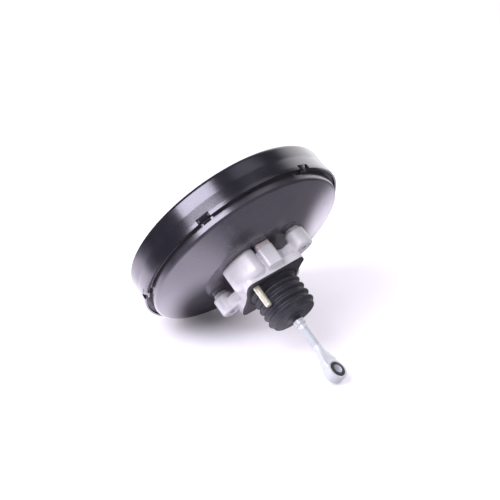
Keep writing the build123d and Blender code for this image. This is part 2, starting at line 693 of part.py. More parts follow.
# Valve body: tail tube, hub, spigot for the plate, nose cup and the stepped valve bore.
with BuildPart() as valve_body:
    with BuildSketch(Plane.XY):
        with BuildLine():
            Polyline((TAIL_BORE_R, TAIL_REAR_Y), (TAIL_R, TAIL_REAR_Y), (TAIL_R, HUB_Y - HUB_CONE),
                     (HUB_R, HUB_Y), (HUB_R, FILM_Y), (SPIGOT_R, FILM_Y), (SPIGOT_R, NOSE_Y),
                     (NOSE_R, NOSE_Y), (NOSE_R, NOSE_Y + NOSE_L - NOSE_EDGE),
                     (NOSE_R - NOSE_EDGE, NOSE_Y + NOSE_L), (CUP_R, NOSE_Y + NOSE_L),
                     (CUP_R, CUP_Y), (PLUNGER_R + RUN_FIT, CUP_Y),
                     (PLUNGER_R + RUN_FIT, PLUNGER_BORE_Y), (CHAMBER_R, PLUNGER_BORE_Y),
                     (CHAMBER_R, CHAMBER_Y), (VACUUM_SEAT_R, CHAMBER_Y),
                     (VACUUM_SEAT_R, CHAMBER_Y - VACUUM_SEAT_H),
                     (VACUUM_SEAT_R + VACUUM_SEAT_W, CHAMBER_Y - VACUUM_SEAT_H),
                     (VACUUM_SEAT_R + VACUUM_SEAT_W, CHAMBER_Y), (STOP_BORE_R, CHAMBER_Y),
                     (STOP_BORE_R, STOP_BORE_Y), (TAIL_BORE_R, STOP_BORE_Y), close=True)
        make_face()
    revolve(axis=Axis.Y)
    # two vacuum passages from the poppet's bore to the front of the hub
    passage_spots = [(0, -PASSAGE_OFF), (0, PASSAGE_OFF)]
    extrude(circles(PASSAGE_R, POCKET_Y + PASSAGE_R, passage_spots),
            amount=POCKET_Y + PASSAGE_R - CHAMBER_Y, mode=Mode.SUBTRACT)
    with BuildSketch(station(NOSE_Y)):
        with Locations((0, -POCKET_R + POCKET_H / 2), (0, POCKET_R - POCKET_H / 2)):
            Rectangle(POCKET_W, POCKET_H)
    extrude(amount=NOSE_Y - POCKET_Y, mode=Mode.SUBTRACT)
    # cross slot for the stop key
    with BuildSketch(station(KEY_Y + KEY_T + VALVE_TRAVEL + KEY_GAP)):
        Rectangle(2 * HUB_R, KEY_W + 2 * KEY_GAP)
    extrude(amount=KEY_T + VALVE_TRAVEL + 2 * KEY_GAP, mode=Mode.SUBTRACT)
save(valve_body, "valve_body")

# Rubber reaction disc in the nose cup.
with BuildPart() as reaction_disc:
    extrude(circles(CUP_R - RUN_FIT, CUP_Y + REACTION_T, [(0, 0)]), amount=REACTION_T)
save(reaction_disc, "reaction_disc")

# Output rod with its broad head and a tapped front end.
with BuildPart() as push_rod:
    extrude(circles(CUP_R - RUN_FIT, PUSH_HEAD_Y + PUSH_HEAD_T, [(0, 0)]), amount=PUSH_HEAD_T)
    extrude(circles(PUSH_ROD_R, PUSH_HEAD_Y + PUSH_ROD_L, [(0, 0)]), amount=PUSH_ROD_L)
    extrude(circles(PUSH_SCREW_R, PUSH_HEAD_Y + PUSH_ROD_L, [(0, 0)]), amount=PUSH_SCREW_L,
            mode=Mode.SUBTRACT)
save(push_rod, "push_rod")

# Adjusting screw with a hexagon and a domed tip.
with BuildPart() as push_rod_screw:
    extrude(circles(PUSH_SCREW_R, PUSH_TIP_Y, [(0, 0)]), amount=PUSH_SCREW_L + PUSH_SCREW_GAP)
    with BuildSketch(station(PUSH_TIP_Y + PUSH_SCREW_HEAD_L)):
        RegularPolygon(PUSH_SCREW_FLATS / 2, 6, major_radius=False)
    extrude(amount=PUSH_SCREW_HEAD_L)
    with BuildSketch(station(PUSH_TIP_Y + PUSH_SCREW_HEAD_L + PUSH_DOME_L)):
        Circle(PUSH_SCREW_R)
    extrude(amount=PUSH_DOME_L)
    fillet(push_rod_screw.edges().group_by(Axis.Y)[-1], PUSH_DOME_L * 0.9)
save(push_rod_screw, "push_rod_screw")

# Pressed cap that keeps the output rod's head in the nose cup.
with BuildPart() as push_rod_cap:
    with BuildSketch(Plane.XY):
        with BuildLine():
            sheet_line([(NOSE_R + RUN_FIT + CATCH_T, NOSE_Y + SOFT_GAP),
                        (NOSE_R + RUN_FIT + CATCH_T, NOSE_Y + NOSE_L + RUN_FIT + CATCH_T),
                        (CATCH_BORE, NOSE_Y + NOSE_L + RUN_FIT + CATCH_T)],
                       CATCH_BEND, CATCH_T, Side.LEFT)
        make_face()
    revolve(axis=Axis.Y)
save(push_rod_cap, "push_rod_cap")


# ======== control valve =================================================================

# Valve plunger: air seat, two lands with the key's groove between them, nose and ball socket.
with BuildPart() as plunger:
    with BuildSketch(Plane.XY):
        with BuildLine():
            Polyline((0, SOCKET_REAR_Y), (SOCKET_R, SOCKET_REAR_Y), (SOCKET_R, AIR_SEAT_Y),
                     (AIR_SEAT_R, AIR_SEAT_Y), (AIR_SEAT_R, AIR_SEAT_Y + AIR_SEAT_T),
                     (PLUNGER_STEM_R, AIR_SEAT_Y + AIR_SEAT_T), (PLUNGER_STEM_R, LAND_Y),
                     (PLUNGER_R, LAND_Y), (PLUNGER_R, KEY_Y - KEY_GAP),
                     (PLUNGER_WAIST_R, KEY_Y - KEY_GAP), (PLUNGER_WAIST_R, KEY_Y + KEY_T + KEY_GAP),
                     (PLUNGER_R, KEY_Y + KEY_T + KEY_GAP), (PLUNGER_R, PLUNGER_NOSE_Y),
                     (PLUNGER_NOSE_R, PLUNGER_NOSE_Y),
                     (PLUNGER_NOSE_R, PLUNGER_NOSE_Y + PLUNGER_NOSE_L),
                     (0, PLUNGER_NOSE_Y + PLUNGER_NOSE_L), close=True)
        make_face()
    revolve(axis=Axis.Y)
    with Locations((0, BALL_Y, 0)):
        Sphere(BALL_R + RUN_FIT, mode=Mode.SUBTRACT)
    extrude(circles(SOCKET_MOUTH_R, BALL_Y, [(0, 0)]), amount=BALL_Y - SOCKET_REAR_Y,
            mode=Mode.SUBTRACT)
save(plunger, "plunger")

# Forked stop key that reaches through the valve body's slot and rests on the rear shell.
with BuildPart() as stop_key:
    with BuildSketch(station(KEY_Y + KEY_T)):
        with Locations(((KEY_REACH - KEY_HEEL) / 2, 0)):
            Rectangle(KEY_REACH + KEY_HEEL, KEY_W)
        Circle(PLUNGER_WAIST_R + KEY_GAP, mode=Mode.SUBTRACT)
        with Locations((-KEY_HEEL / 2, 0)):
            Rectangle(KEY_HEEL, 2 * (PLUNGER_WAIST_R + KEY_GAP), mode=Mode.SUBTRACT)
    extrude(amount=KEY_T)
save(stop_key, "stop_key")

# Rubber poppet: sealing lip, flexible tube and the bead that holds it in the tail.
with BuildPart() as poppet:
    with BuildSketch(Plane.XY):
        with BuildLine():
            Polyline((POPPET_BORE_R, POPPET_FACE_Y), (POPPET_LIP_R, POPPET_FACE_Y),
                     (POPPET_LIP_R, POPPET_LIP_Y), (POPPET_TUBE_R, POPPET_LIP_Y),
                     (POPPET_TUBE_R, POPPET_BEAD_Y + POPPET_FLARE), (POPPET_BEAD_R, POPPET_BEAD_Y),
                     (TAIL_BORE_R - SOFT_GAP, POPPET_BEAD_Y),
                     (TAIL_BORE_R - SOFT_GAP, POPPET_BEAD_Y - POPPET_BEAD_L),
                     (POPPET_BEAD_R - POPPET_WALL, POPPET_BEAD_Y - POPPET_BEAD_L),
                     (POPPET_BEAD_R - POPPET_WALL, POPPET_BEAD_Y - POPPET_WALL),
                     (POPPET_TUBE_R - POPPET_WALL, POPPET_BEAD_Y + POPPET_FLARE - POPPET_WALL),
                     (POPPET_TUBE_R - POPPET_WALL, POPPET_LIP_Y), (POPPET_BORE_R, POPPET_LIP_Y),
                     close=True)
        make_face()
    revolve(axis=Axis.Y)
save(poppet, "poppet")

# Ring that holds the poppet's bead; both rod springs bear near it.
with BuildPart() as poppet_ring:
    extrude(annulus(TAIL_BORE_R - RUN_FIT, POPPET_RING_BORE, POPPET_BEAD_Y - POPPET_BEAD_L),
            amount=POPPET_RING_T)
save(poppet_ring, "poppet_ring")

# Spring that presses the poppet's lip forward.
with BuildPart() as poppet_spring:
    poppet_coil = coil_line(POPPET_BEAD_Y, POPPET_LIP_Y, POPPET_COIL_REAR_R,
                            POPPET_COIL_FRONT_R, POPPET_WIRE_R, POPPET_TURNS)
    with BuildSketch(Plane(origin=poppet_coil @ 0, z_dir=poppet_coil % 0)):
        Circle(POPPET_WIRE_R)
    sweep(path=poppet_coil, is_frenet=True)
save(poppet_spring, "poppet_spring")

# Spring that pushes the input rod back to rest.
with BuildPart() as rod_spring:
    rod_coil = coil_line(SPRING_SEAT_Y + SPRING_SEAT_T,
                         POPPET_BEAD_Y - POPPET_BEAD_L - POPPET_RING_T,
                         ROD_COIL_REAR_R, ROD_COIL_FRONT_R, ROD_WIRE_R, ROD_TURNS)
    with BuildSketch(Plane(origin=rod_coil @ 0, z_dir=rod_coil % 0)):
        Circle(ROD_WIRE_R)
    sweep(path=rod_coil, is_frenet=True)
save(rod_spring, "rod_spring")

# Foam air filter, silencer felt, and the cap that keeps both in the tail.
with BuildPart() as air_filter:
    extrude(annulus(TAIL_BORE_R - RUN_FIT, FILTER_BORE, FILTER_Y + FILTER_L), amount=FILTER_L)
save(air_filter, "air_filter")

with BuildPart() as silencer:
    extrude(annulus(TAIL_BORE_R - RUN_FIT, SILENCER_BORE, FILTER_Y), amount=SILENCER_L)
save(silencer, "silencer")

with BuildPart() as tail_cap:
    extrude(annulus(TAIL_BORE_R - RUN_FIT, TAIL_CAP_BORE, FILTER_Y - SILENCER_L),
            amount=TAIL_CAP_T)
save(tail_cap, "tail_cap")


# ======== input rod =====================================================================

# Input rod: ball, neck, shank and the flattened eye end.
with BuildPart() as input_rod:
    with BuildSketch(station(ROD_SHOULDER_Y)):
        Circle(ROD_R)
    extrude(amount=ROD_SHOULDER_Y - PADDLE_Y)
    chamfer(input_rod.edges().group_by(Axis.Y)[-1], ROD_R - BALL_NECK_R - RUN_FIT)
    extrude(circles(BALL_NECK_R, BALL_Y, [(0, 0)]), amount=BALL_Y - ROD_SHOULDER_Y)
    with Locations((0, BALL_Y, 0)):
        Sphere(BALL_R)
    # the paddle widens from the shank to the eye
    with BuildSketch(station(PADDLE_Y, EYE_TURN)):
        Circle(ROD_R)
    with BuildSketch(station(PADDLE_Y - PADDLE_BLEND, EYE_TURN)):
        RectangleRounded(EYE_T - 2 * EYE_EDGE, PADDLE_W, PADDLE_CORNER)
    loft()
    with BuildSketch(station(PADDLE_Y - PADDLE_BLEND, EYE_TURN)):
        RectangleRounded(EYE_T - 2 * EYE_EDGE, PADDLE_W, PADDLE_CORNER)
    extrude(amount=PADDLE_Y - PADDLE_BLEND - EYE_Y)
    with BuildSketch(EYE_PLANE):
        Circle(EYE_R)
    extrude(amount=EYE_T / 2, both=True)
    with BuildSketch(EYE_PLANE):
        Circle(EYE_BORE_R)
    extrude(amount=EYE_T, both=True, mode=Mode.SUBTRACT)
save(input_rod, "input_rod")

# Rubber bush in the eye, and the steel sleeve inside the bush.
with BuildPart() as eye_bush:
    with BuildSketch(EYE_PLANE):
        Circle(EYE_BORE_R - RUN_FIT)
        Circle(SLEEVE_R + RUN_FIT, mode=Mode.SUBTRACT)
    extrude(amount=BUSH_T / 2, both=True)
save(eye_bush, "eye_bush")

with BuildPart() as eye_sleeve:
    with BuildSketch(EYE_PLANE):
        Circle(SLEEVE_R)
        Circle(SLEEVE_BORE_R, mode=Mode.SUBTRACT)
    extrude(amount=SLEEVE_T / 2, both=True)
save(eye_sleeve, "eye_sleeve")

# Washer on the rod that carries the return spring, and the sleeve behind the boot's lip.
with BuildPart() as spring_seat:
    extrude(annulus(SPRING_SEAT_R, ROD_R + RUN_FIT, SPRING_SEAT_Y + SPRING_SEAT_T),
            amount=SPRING_SEAT_T)
save(spring_seat, "spring_seat")

with BuildPart() as rod_sleeve:
    extrude(annulus(CLIP_R, ROD_R + RUN_FIT, BOOT_LIP_Y - SOFT_GAP), amount=CLIP_L)
    chamfer(rod_sleeve.edges().group_by(Axis.Y)[0].sort_by(SortBy.RADIUS)[-1], CLIP_CHAMFER)
save(rod_sleeve, "rod_sleeve")


# ======== boot ==========================================================================

# Rubber boot: collar over the neck, folds, end cap and the lip around the rod.
fold_line = [(BOOT_COLLAR_R, GASKET_T + BOOT_SEAT_DEPTH / 2), (BOOT_COLLAR_R, 0)]
for fold in range(BOOT_FOLDS):
    crest_y = -BOOT_FIRST_CREST - fold * BOOT_PITCH
    fold_line.append((BOOT_ROOT_R, crest_y + BOOT_PITCH / 2))
    fold_line.append((BOOT_CREST_R, crest_y))
fold_line += [(BOOT_END_R, BOOT_END_Y), (BOOT_LIP_R, BOOT_CAP_Y), (BOOT_LIP_R, BOOT_LIP_Y)]
with BuildPart() as boot:
    with BuildSketch(Plane.XY):
        with BuildLine():
            sheet_line(fold_line, BOOT_BEND, BOOT_WALL, Side.RIGHT)
        make_face()
    revolve(axis=Axis.Y)
    extrude(annulus(BOOT_COLLAR_R, NECK_R + RUN_FIT, GASKET_T + BOOT_SEAT_DEPTH - SOFT_GAP),
            amount=BOOT_BEAD_L)
    extrude(annulus(BOOT_LIP_R, ROD_R + SOFT_GAP, BOOT_CAP_Y - BOOT_BEND), amount=BOOT_CAP_Y
            - BOOT_BEND - BOOT_LIP_Y)
save(boot, "boot")


# ======== front side ====================================================================

# Return spring between the diaphragm plate and the front stiffener.
with BuildPart() as return_spring:
    return_coil = coil_line(DISC_Y + DISC_T, INNER_FRONT_Y - STIFFENER_T, RETURN_REAR_R,
                            RETURN_FRONT_R, RETURN_WIRE_R, RETURN_TURNS)
    with BuildSketch(Plane(origin=return_coil @ 0, z_dir=return_coil % 0)):
        Circle(RETURN_WIRE_R)
    sweep(path=return_coil, is_frenet=True)
save(return_spring, "return_spring")

# Rubber ring that seals the master cylinder in the front opening.
with BuildPart() as front_seal:
    extrude(annulus(OPENING_R - RUN_FIT, FRONT_SEAL_BORE, FRONT_Y), amount=FRONT_SEAL_L)
save(front_seal, "front_seal")


# ======== vacuum check valve ============================================================

def check_profile(*points):
    """Half section of a check valve piece: x is the radius from the valve's own axis."""
    with BuildSketch(Plane(origin=(CHECK_X, 0, CHECK_Z), z_dir=(0, 0, 1))) as sketch:
        with BuildLine():
            Polyline(*points, close=True)
        make_face()
    return sketch.sketch


# Grommet in the front shell.
with BuildPart() as check_grommet:
    revolve(check_profile((CHECK_STEM_R + RUN_FIT, GROMMET_IN_Y),
                          (GROMMET_R - GROMMET_LIP_T / 2, GROMMET_IN_Y),
                          (GROMMET_R, INNER_SHOULDER_Y - RUN_FIT - GROMMET_LIP_T / 2),
                          (GROMMET_R, INNER_SHOULDER_Y - RUN_FIT),
                          (GROMMET_NECK_R - RUN_FIT, INNER_SHOULDER_Y - RUN_FIT),
                          (GROMMET_NECK_R - RUN_FIT, SHOULDER_Y + RUN_FIT),
                          (GROMMET_R, SHOULDER_Y + RUN_FIT), (GROMMET_R, GROMMET_OUT_Y),
                          (CHECK_STEM_R + RUN_FIT, GROMMET_OUT_Y)), axis=CHECK_AXIS)
save(check_grommet, "check_grommet")

# Valve body: barbed stem, flange, barrel and the seat under the disc.
with BuildPart() as check_body:
    revolve(check_profile((CHECK_SEAT_R, GROMMET_IN_Y - CHECK_BARB_L),
                          (CHECK_STEM_R - BARB_RISE, GROMMET_IN_Y - CHECK_BARB_L),
                          (CHECK_STEM_R + BARB_RISE, GROMMET_IN_Y - SOFT_GAP),
                          (CHECK_STEM_R, GROMMET_IN_Y - SOFT_GAP), (CHECK_STEM_R, GROMMET_OUT_Y),
                          (CHECK_FLANGE_R, GROMMET_OUT_Y),
                          (CHECK_FLANGE_R, GROMMET_OUT_Y + CHECK_FLANGE_T),
                          (CHECK_BARREL_R, GROMMET_OUT_Y + CHECK_FLANGE_T),
                          (CHECK_BARREL_R, CHECK_TOP_Y), (CHECK_CHAMBER_R, CHECK_TOP_Y),
                          (CHECK_CHAMBER_R, CHECK_SEAT_Y), (CHECK_SEAT_R, CHECK_SEAT_Y)),
            axis=CHECK_AXIS)
save(check_body, "check_body")

# Disc that lifts off its seat towards the engine side.
with BuildPart() as check_disc:
    extrude(circles(CHECK_DISC_R, CHECK_SEAT_Y + CHECK_DISC_T, CHECK_SPOTS), amount=CHECK_DISC_T)
save(check_disc, "check_disc")

# Spring on the disc.
with BuildPart() as check_spring:
    check_coil = coil_line(CHECK_SEAT_Y + CHECK_DISC_T, CHECK_TOP_Y - CHECK_PLUG_L, CHECK_COIL_R,
                           CHECK_COIL_R, CHECK_WIRE_R, CHECK_TURNS).moved(CHECK_PLACE)
    with BuildSketch(Plane(origin=check_coil @ 0, z_dir=check_coil % 0)):
        Circle(CHECK_WIRE_R)
    sweep(path=check_coil, is_frenet=True)
save(check_spring, "check_spring")

# Cap with the plug in the barrel and the barbed hose nozzle.
nozzle_line = [(NOZZLE_R, CHECK_TOP_Y + CHECK_FLANGE_T)]
for barb in range(BARB_COUNT):
    barb_y = NOZZLE_END_Y - (BARB_COUNT - barb) * BARB_PITCH
    nozzle_line += [(NOZZLE_R, barb_y), (NOZZLE_R + BARB_RISE, barb_y)]
nozzle_line += [(NOZZLE_R, NOZZLE_END_Y), (NOZZLE_BORE_R, NOZZLE_END_Y)]
with BuildPart() as check_cap:
    revolve(check_profile((NOZZLE_BORE_R, CHECK_TOP_Y - CHECK_PLUG_L),
                          (CHECK_CHAMBER_R - RUN_FIT, CHECK_TOP_Y - CHECK_PLUG_L),
                          (CHECK_CHAMBER_R - RUN_FIT, CHECK_TOP_Y), (CHECK_BARREL_R, CHECK_TOP_Y),
                          (CHECK_BARREL_R, CHECK_TOP_Y + CHECK_FLANGE_T), *nozzle_line),
            axis=CHECK_AXIS)
save(check_cap, "check_cap")
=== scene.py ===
import json
from math import cos, pi, radians, sin, tan

import bpy
from bpy.props import FloatProperty, FloatVectorProperty, IntProperty, PointerProperty
from mathutils import Matrix, Vector


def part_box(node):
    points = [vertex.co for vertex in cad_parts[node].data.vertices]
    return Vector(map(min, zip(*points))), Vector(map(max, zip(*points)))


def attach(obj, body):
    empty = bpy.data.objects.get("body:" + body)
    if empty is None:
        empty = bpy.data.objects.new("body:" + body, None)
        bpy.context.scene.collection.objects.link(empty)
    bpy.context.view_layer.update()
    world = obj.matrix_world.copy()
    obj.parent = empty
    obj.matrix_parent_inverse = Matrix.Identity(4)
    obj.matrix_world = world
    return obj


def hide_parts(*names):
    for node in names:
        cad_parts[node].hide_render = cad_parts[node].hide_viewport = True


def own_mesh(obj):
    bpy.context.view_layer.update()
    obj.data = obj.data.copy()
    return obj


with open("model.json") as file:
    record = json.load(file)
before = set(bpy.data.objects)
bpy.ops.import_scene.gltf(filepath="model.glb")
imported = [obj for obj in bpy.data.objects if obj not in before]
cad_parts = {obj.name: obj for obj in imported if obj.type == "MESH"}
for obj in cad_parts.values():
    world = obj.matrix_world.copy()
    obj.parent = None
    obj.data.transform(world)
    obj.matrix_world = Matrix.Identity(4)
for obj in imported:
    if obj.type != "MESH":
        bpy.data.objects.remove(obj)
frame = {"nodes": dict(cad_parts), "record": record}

bl_info = {
    "name": "Brake Booster Builder",
    "version": (1, 0, 0),
    "blender": (4, 5, 0),
    "location": "3D View > Sidebar > Booster",
    "description": "Builds the visible pieces of a vacuum brake booster around its frame",
    "category": "Object",
}

MM = 0.001
FRONT_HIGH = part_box("front_shell")[1]
REAR_LOW, REAR_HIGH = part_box("rear_shell")
EYE_LOW, EYE_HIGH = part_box("eye_sleeve")
EYE_CENTRE = (EYE_LOW + EYE_HIGH) / 2
MERGE = 1e-6
FINE_MERGE = 1e-7
SHELL_STEPS = 192
THREAD_STEPS = 24


def millimetres(name, description, value):
    """A length that a user can change, with its default in millimetres."""
    return FloatProperty(name=name, description=description, default=value * MM,
                         min=0.0, unit="LENGTH")


def paint(name, description, value):
    """A colour that a user can change."""
    return FloatVectorProperty(name=name, description=description, default=value,
                               subtype="COLOR", size=3, min=0.0, max=1.0)


class BoosterSizes(bpy.types.PropertyGroup):
    """Sizes of the pieces that are modelled here."""

    sheet: millimetres("Sheet", "Thickness of both pressed shells", 2.0)
    neck_radius: millimetres("Neck radius", "Outer radius of the rear shell's neck", 27.0)
    neck_lip: millimetres("Neck lip", "Radius of the neck's turned-in lip", 23.0)
    neck_bend: millimetres("Neck bend", "Bend of the lip, the neck and the seat", 3.0)
    seat_y: millimetres("Seat", "Distance of the rear seat from the bulkhead face", 38.0)
    seat_radius: millimetres("Seat radius", "Radius where the rear cone starts", 70.0)
    wall_radius: millimetres("Wall radius", "Outer radius of the rear shell's side wall", 127.0)
    corner_y: millimetres("Corner", "Where the rear cone meets the side wall", 54.5)
    corner_bend: millimetres("Corner bend", "Bend between the rear cone and the wall", 4.0)
    flange_inset: millimetres("Flange inset", "Gap between the flange and the collar's edge", 1.4)
    flange_depth: millimetres("Flange depth", "How deep the flange lies in the collar", 3.0)
    flange_bend: millimetres("Flange bend", "Bend between the side wall and the flange", 2.5)
    seam_y: millimetres("Seam", "Distance of the seam from the bulkhead face", 65.0)
    joggle_y: millimetres("Joggle", "Where the collar starts to narrow", 68.5)
    joggle_length: millimetres("Joggle length", "Length of the taper to the skirt", 16.0)
    joggle_bend: millimetres("Joggle bend", "Bend at both ends of the taper", 22.0)
    skirt_radius: millimetres("Skirt radius", "Outer radius of the front shell's skirt", 132.0)
    shoulder_y: millimetres("Shoulder", "Front end of the skirt", 104.0)
    shoulder_bend: millimetres("Shoulder bend", "Bend at the front end of the skirt", 5.0)
    step_radius: millimetres("Step radius", "Where the front cone starts", 76.0)
    step_bend: millimetres("Step bend", "Bend at both ends of the front cone", 6.0)
    front_seat: millimetres("Front seat", "Outer radius of the raised front seat", 60.0)
    opening: millimetres("Opening", "Bore of the front opening", 31.0)
    opening_depth: millimetres("Opening depth", "Length of the opening's turned-in edge", 8.0)
    opening_bend: millimetres("Opening bend", "Bend into the front opening", 3.0)
    tab_width: millimetres("Tab width", "Width of a crimp tab", 11.0)
    tab_sheet: millimetres("Tab sheet", "Thickness of a crimp tab", 0.9)
    tab_bend: millimetres("Tab bend", "Bend of a crimp tab", 1.5)
    tab_edge: millimetres("Tab edge", "Width of the bevel on a tab's edges", 0.25)
    slit_width: millimetres("Slit width", "Width of the slit beside a tab", 3.0)
    slit_length: millimetres("Slit length", "Length of that slit along the axis", 6.0)
    tab_count: IntProperty(name="Tabs", description="Number of crimp tabs", default=6, min=3)
    boot_wall: millimetres("Boot wall", "Thickness of the rubber boot", 1.4)
    boot_cuff: millimetres("Boot cuff", "Outer radius of the boot's cuff", 31.2)
    boot_root: millimetres("Boot root", "Inner radius of the boot's folds", 26.3)
    boot_crest: millimetres("Boot crest", "Outer radius of the boot's folds", 31.6)
    boot_pitch: millimetres("Boot pitch", "Distance between two folds", 9.2)
    boot_first: millimetres("First fold", "Distance of the first fold from the bulkhead", 8.5)
    boot_folds: IntProperty(name="Folds", description="Number of folds", default=4, min=1)
    boot_end: millimetres("Boot end", "Distance of the boot's end cap from the bulkhead face", 44.0)
    rod_radius: millimetres("Rod radius", "Radius of the input rod", 5.0)
    rod_pitch: millimetres("Rod pitch", "Pitch of the rod's thread", 1.5)
    rod_thread_start: millimetres("Rod thread start", "From the eye to the thread", 36.0)
    rod_thread_end: millimetres("Rod thread end", "From the eye to the end of the thread", 62.0)
    rod_grain: millimetres("Rod grain", "Cell size of the forged surface", 0.5)
    sleeve_bore: millimetres("Sleeve bore", "Inner radius of the eye's sleeve", 5.06)
    sleeve_radius: millimetres("Sleeve radius", "Outer radius of the eye's sleeve", 6.3)
    sleeve_end: millimetres("Sleeve end", "Half the length of the eye's sleeve", 6.4)
    thread_pitch: millimetres("Thread pitch", "Pitch of the stud threads", 1.25)
    thread_depth: millimetres("Thread depth", "Depth of the threads", 0.55)
    stud_radius: millimetres("Stud radius", "Outer radius of the studs", 4.0)
    head_length: millimetres("Head length", "Length of the studs' heads", 3.0)
    bulkhead_head: millimetres("Bulkhead head", "Radius of a bulkhead stud's head", 7.5)
    bulkhead_thread: millimetres("Bulkhead thread", "Thread of a bulkhead stud", 34.0)
    cylinder_head: millimetres("Cylinder head", "Radius of a master cylinder stud's head", 6.4)
    cylinder_thread: millimetres("Cylinder thread", "Thread of a cylinder stud", 22.0)
    cast_grain: millimetres("Cast grain", "Cell size of the cast surface", 1.0)


class BoosterColours(bpy.types.PropertyGroup):
    """Colours of the finishes."""

    black_paint: paint("Black paint", "Gloss paint of the shells", (0.010, 0.009, 0.014))
    # Painted light: the rear shell's paint is lighter than the front shell's, in place of the light
    # that the rear shell catches.
    lightened_wall_paint: paint("Rear shell paint with painted light", "Paint of the rear shell, lighter as painted light", (0.042, 0.039, 0.048))
    paint_patch: paint("Paint patches", "Patches in the paint", (0.020, 0.018, 0.028))
    aluminium: paint("Cast aluminium", "The spacer", (0.73, 0.71, 0.76))
    cast_patch: paint("Casting patches", "Duller patches of the spacer", (0.60, 0.57, 0.63))
    rubber: paint("Rubber", "Boot, grommet and seals", (0.026, 0.025, 0.034))
    rubber_bloom: paint("Rubber bloom", "Pale bloom on the rubber", (0.075, 0.072, 0.090))
    zinc: paint("Zinc", "Rod, screws and pressed steel", (0.66, 0.68, 0.73))
    zinc_patch: paint("Zinc patches", "Duller patches of the zinc", (0.56, 0.58, 0.64))
    cream_zinc: paint("Cream zinc", "Studs", (0.80, 0.77, 0.66))
    cream_patch: paint("Cream patches", "Greyer patches of the studs", (0.66, 0.64, 0.58))
    pad: paint("Pad", "Speckled pads under the columns", (0.74, 0.65, 0.70))
    pad_speck: paint("Pad specks", "Dark specks of the pads", (0.46, 0.33, 0.35))
    pad_fleck: paint("Pad flecks", "Pale flecks of the pads", (0.80, 0.78, 0.76))
    plastic: paint("Plastic", "Valve body, guide and check valve", (0.03, 0.03, 0.035))
    foam: paint("Foam", "Air filter and silencer", (0.12, 0.12, 0.13))
    steel: paint("Spring steel", "Springs", (0.24, 0.24, 0.26))
    floor: paint("Floor", "Floor under the booster", (0.80, 0.79, 0.82))
    floor_mirrored: paint("Mirrored floor", "The floor in reflections", (0.34, 0.32, 0.36))


# ---- modelling steps -------------------------------------------------------------------

def deselect():
    """Leave edit mode and let nothing be selected."""
    if bpy.context.object and bpy.context.object.mode == "EDIT":
        bpy.ops.object.mode_set(mode="OBJECT")
    bpy.ops.object.select_all(action="DESELECT")


def pick(piece):
    """Make one piece the selected and active one."""
    deselect()
    piece.hide_viewport = False
    piece.select_set(True)
    bpy.context.view_layer.objects.active = piece


def rounded(corners, radii, steps=6):
    """Corners of a line in a half section, each but the ends replaced by its arc."""
    line = [Vector(corners[0])]
    for before, corner, after, radius in zip(corners, corners[1:], corners[2:], radii):
        corner = Vector(corner)
        back = (Vector(before) - corner).normalized()
        ahead = (Vector(after) - corner).normalized()
        half = back.angle(ahead) / 2
        centre = corner + (back + ahead).normalized() * (radius / sin(half))
        start = corner + back * (radius / tan(half)) - centre
        end = corner + ahead * (radius / tan(half)) - centre
        turn = start.angle_signed(end)
        for step in range(steps + 1):
            angle = -turn * step / steps
            line.append(centre + Vector((start.x * cos(angle) - start.y * sin(angle),
                                         start.x * sin(angle) + start.y * cos(angle))))
    line.append(Vector(corners[-1]))
    return line


def sheet_section(line, thickness):
    """Closed half section of a sheet that lies to the left of the line."""
    inner = []
    for index, point in enumerate(line):
        before = line[max(index - 1, 0)]
        after = line[min(index + 1, len(line) - 1)]
        along = (after - before).normalized()
        inner.append(point + Vector((-along.y, along.x)) * thickness)
    return list(line) + inner[::-1]


def drawn(points, closed=True):
    """Draw edges through the points, and stay in edit mode."""
    deselect()
    bpy.ops.mesh.primitive_plane_add(size=1.0)
    bpy.ops.object.mode_set(mode="EDIT")
    bpy.ops.mesh.select_all(action="SELECT")
    bpy.ops.mesh.merge(type="CENTER")
    bpy.ops.transform.translate(value=points[0])
    ahead = points[1:] + points[:1] if closed else points[1:]
    for before, point in zip(points, ahead):
        bpy.ops.mesh.extrude_region_move(TRANSFORM_OT_translate={"value": point - before})
    bpy.ops.mesh.select_all(action="SELECT")
    bpy.ops.mesh.remove_doubles(threshold=MERGE)
    return bpy.context.object


def close_mesh(threshold=MERGE):
    """Merge what lies together, turn the faces outwards and leave edit mode."""
    bpy.ops.mesh.select_all(action="SELECT")
    bpy.ops.mesh.remove_doubles(threshold=threshold)
    bpy.ops.mesh.normals_make_consistent(inside=False)
    bpy.ops.object.mode_set(mode="OBJECT")


def turned(name, section, steps=128, closed=True):
    """Turn a half section (radius, y) into a piece round the Y axis."""
    piece = drawn([Vector((p[0], p[1], 0.0)) for p in section], closed)
    piece.name = name
    bpy.ops.mesh.spin(steps=steps, angle=2 * pi, center=(0, 0, 0), axis=(0, 1, 0))
    close_mesh(2 * MERGE)
    return piece


def smooth(piece, angle=35):
    """Shade a piece smooth up to an angle in degrees."""
    pick(piece)
    bpy.ops.object.shade_smooth_by_angle(angle=radians(angle))


def modify(piece, kind, **settings):
    """Add a modifier and apply it."""
    pick(piece)
    bpy.ops.object.modifier_add(type=kind)
    modifier = piece.modifiers[-1]
    for key, value in settings.items():
        setattr(modifier, key, value)
    bpy.ops.object.modifier_apply(modifier=modifier.name)


def settle(piece):
    """Put a piece's place into its mesh."""
    pick(piece)
    bpy.ops.object.transform_apply(location=True, rotation=True, scale=True)


def joined(pieces, name):
    """Join pieces into the first one."""
    deselect()
    for piece in pieces:
        piece.select_set(True)
    bpy.context.view_layer.objects.active = pieces[0]
    bpy.ops.object.join()
    pieces[0].name = name
    return pieces[0]


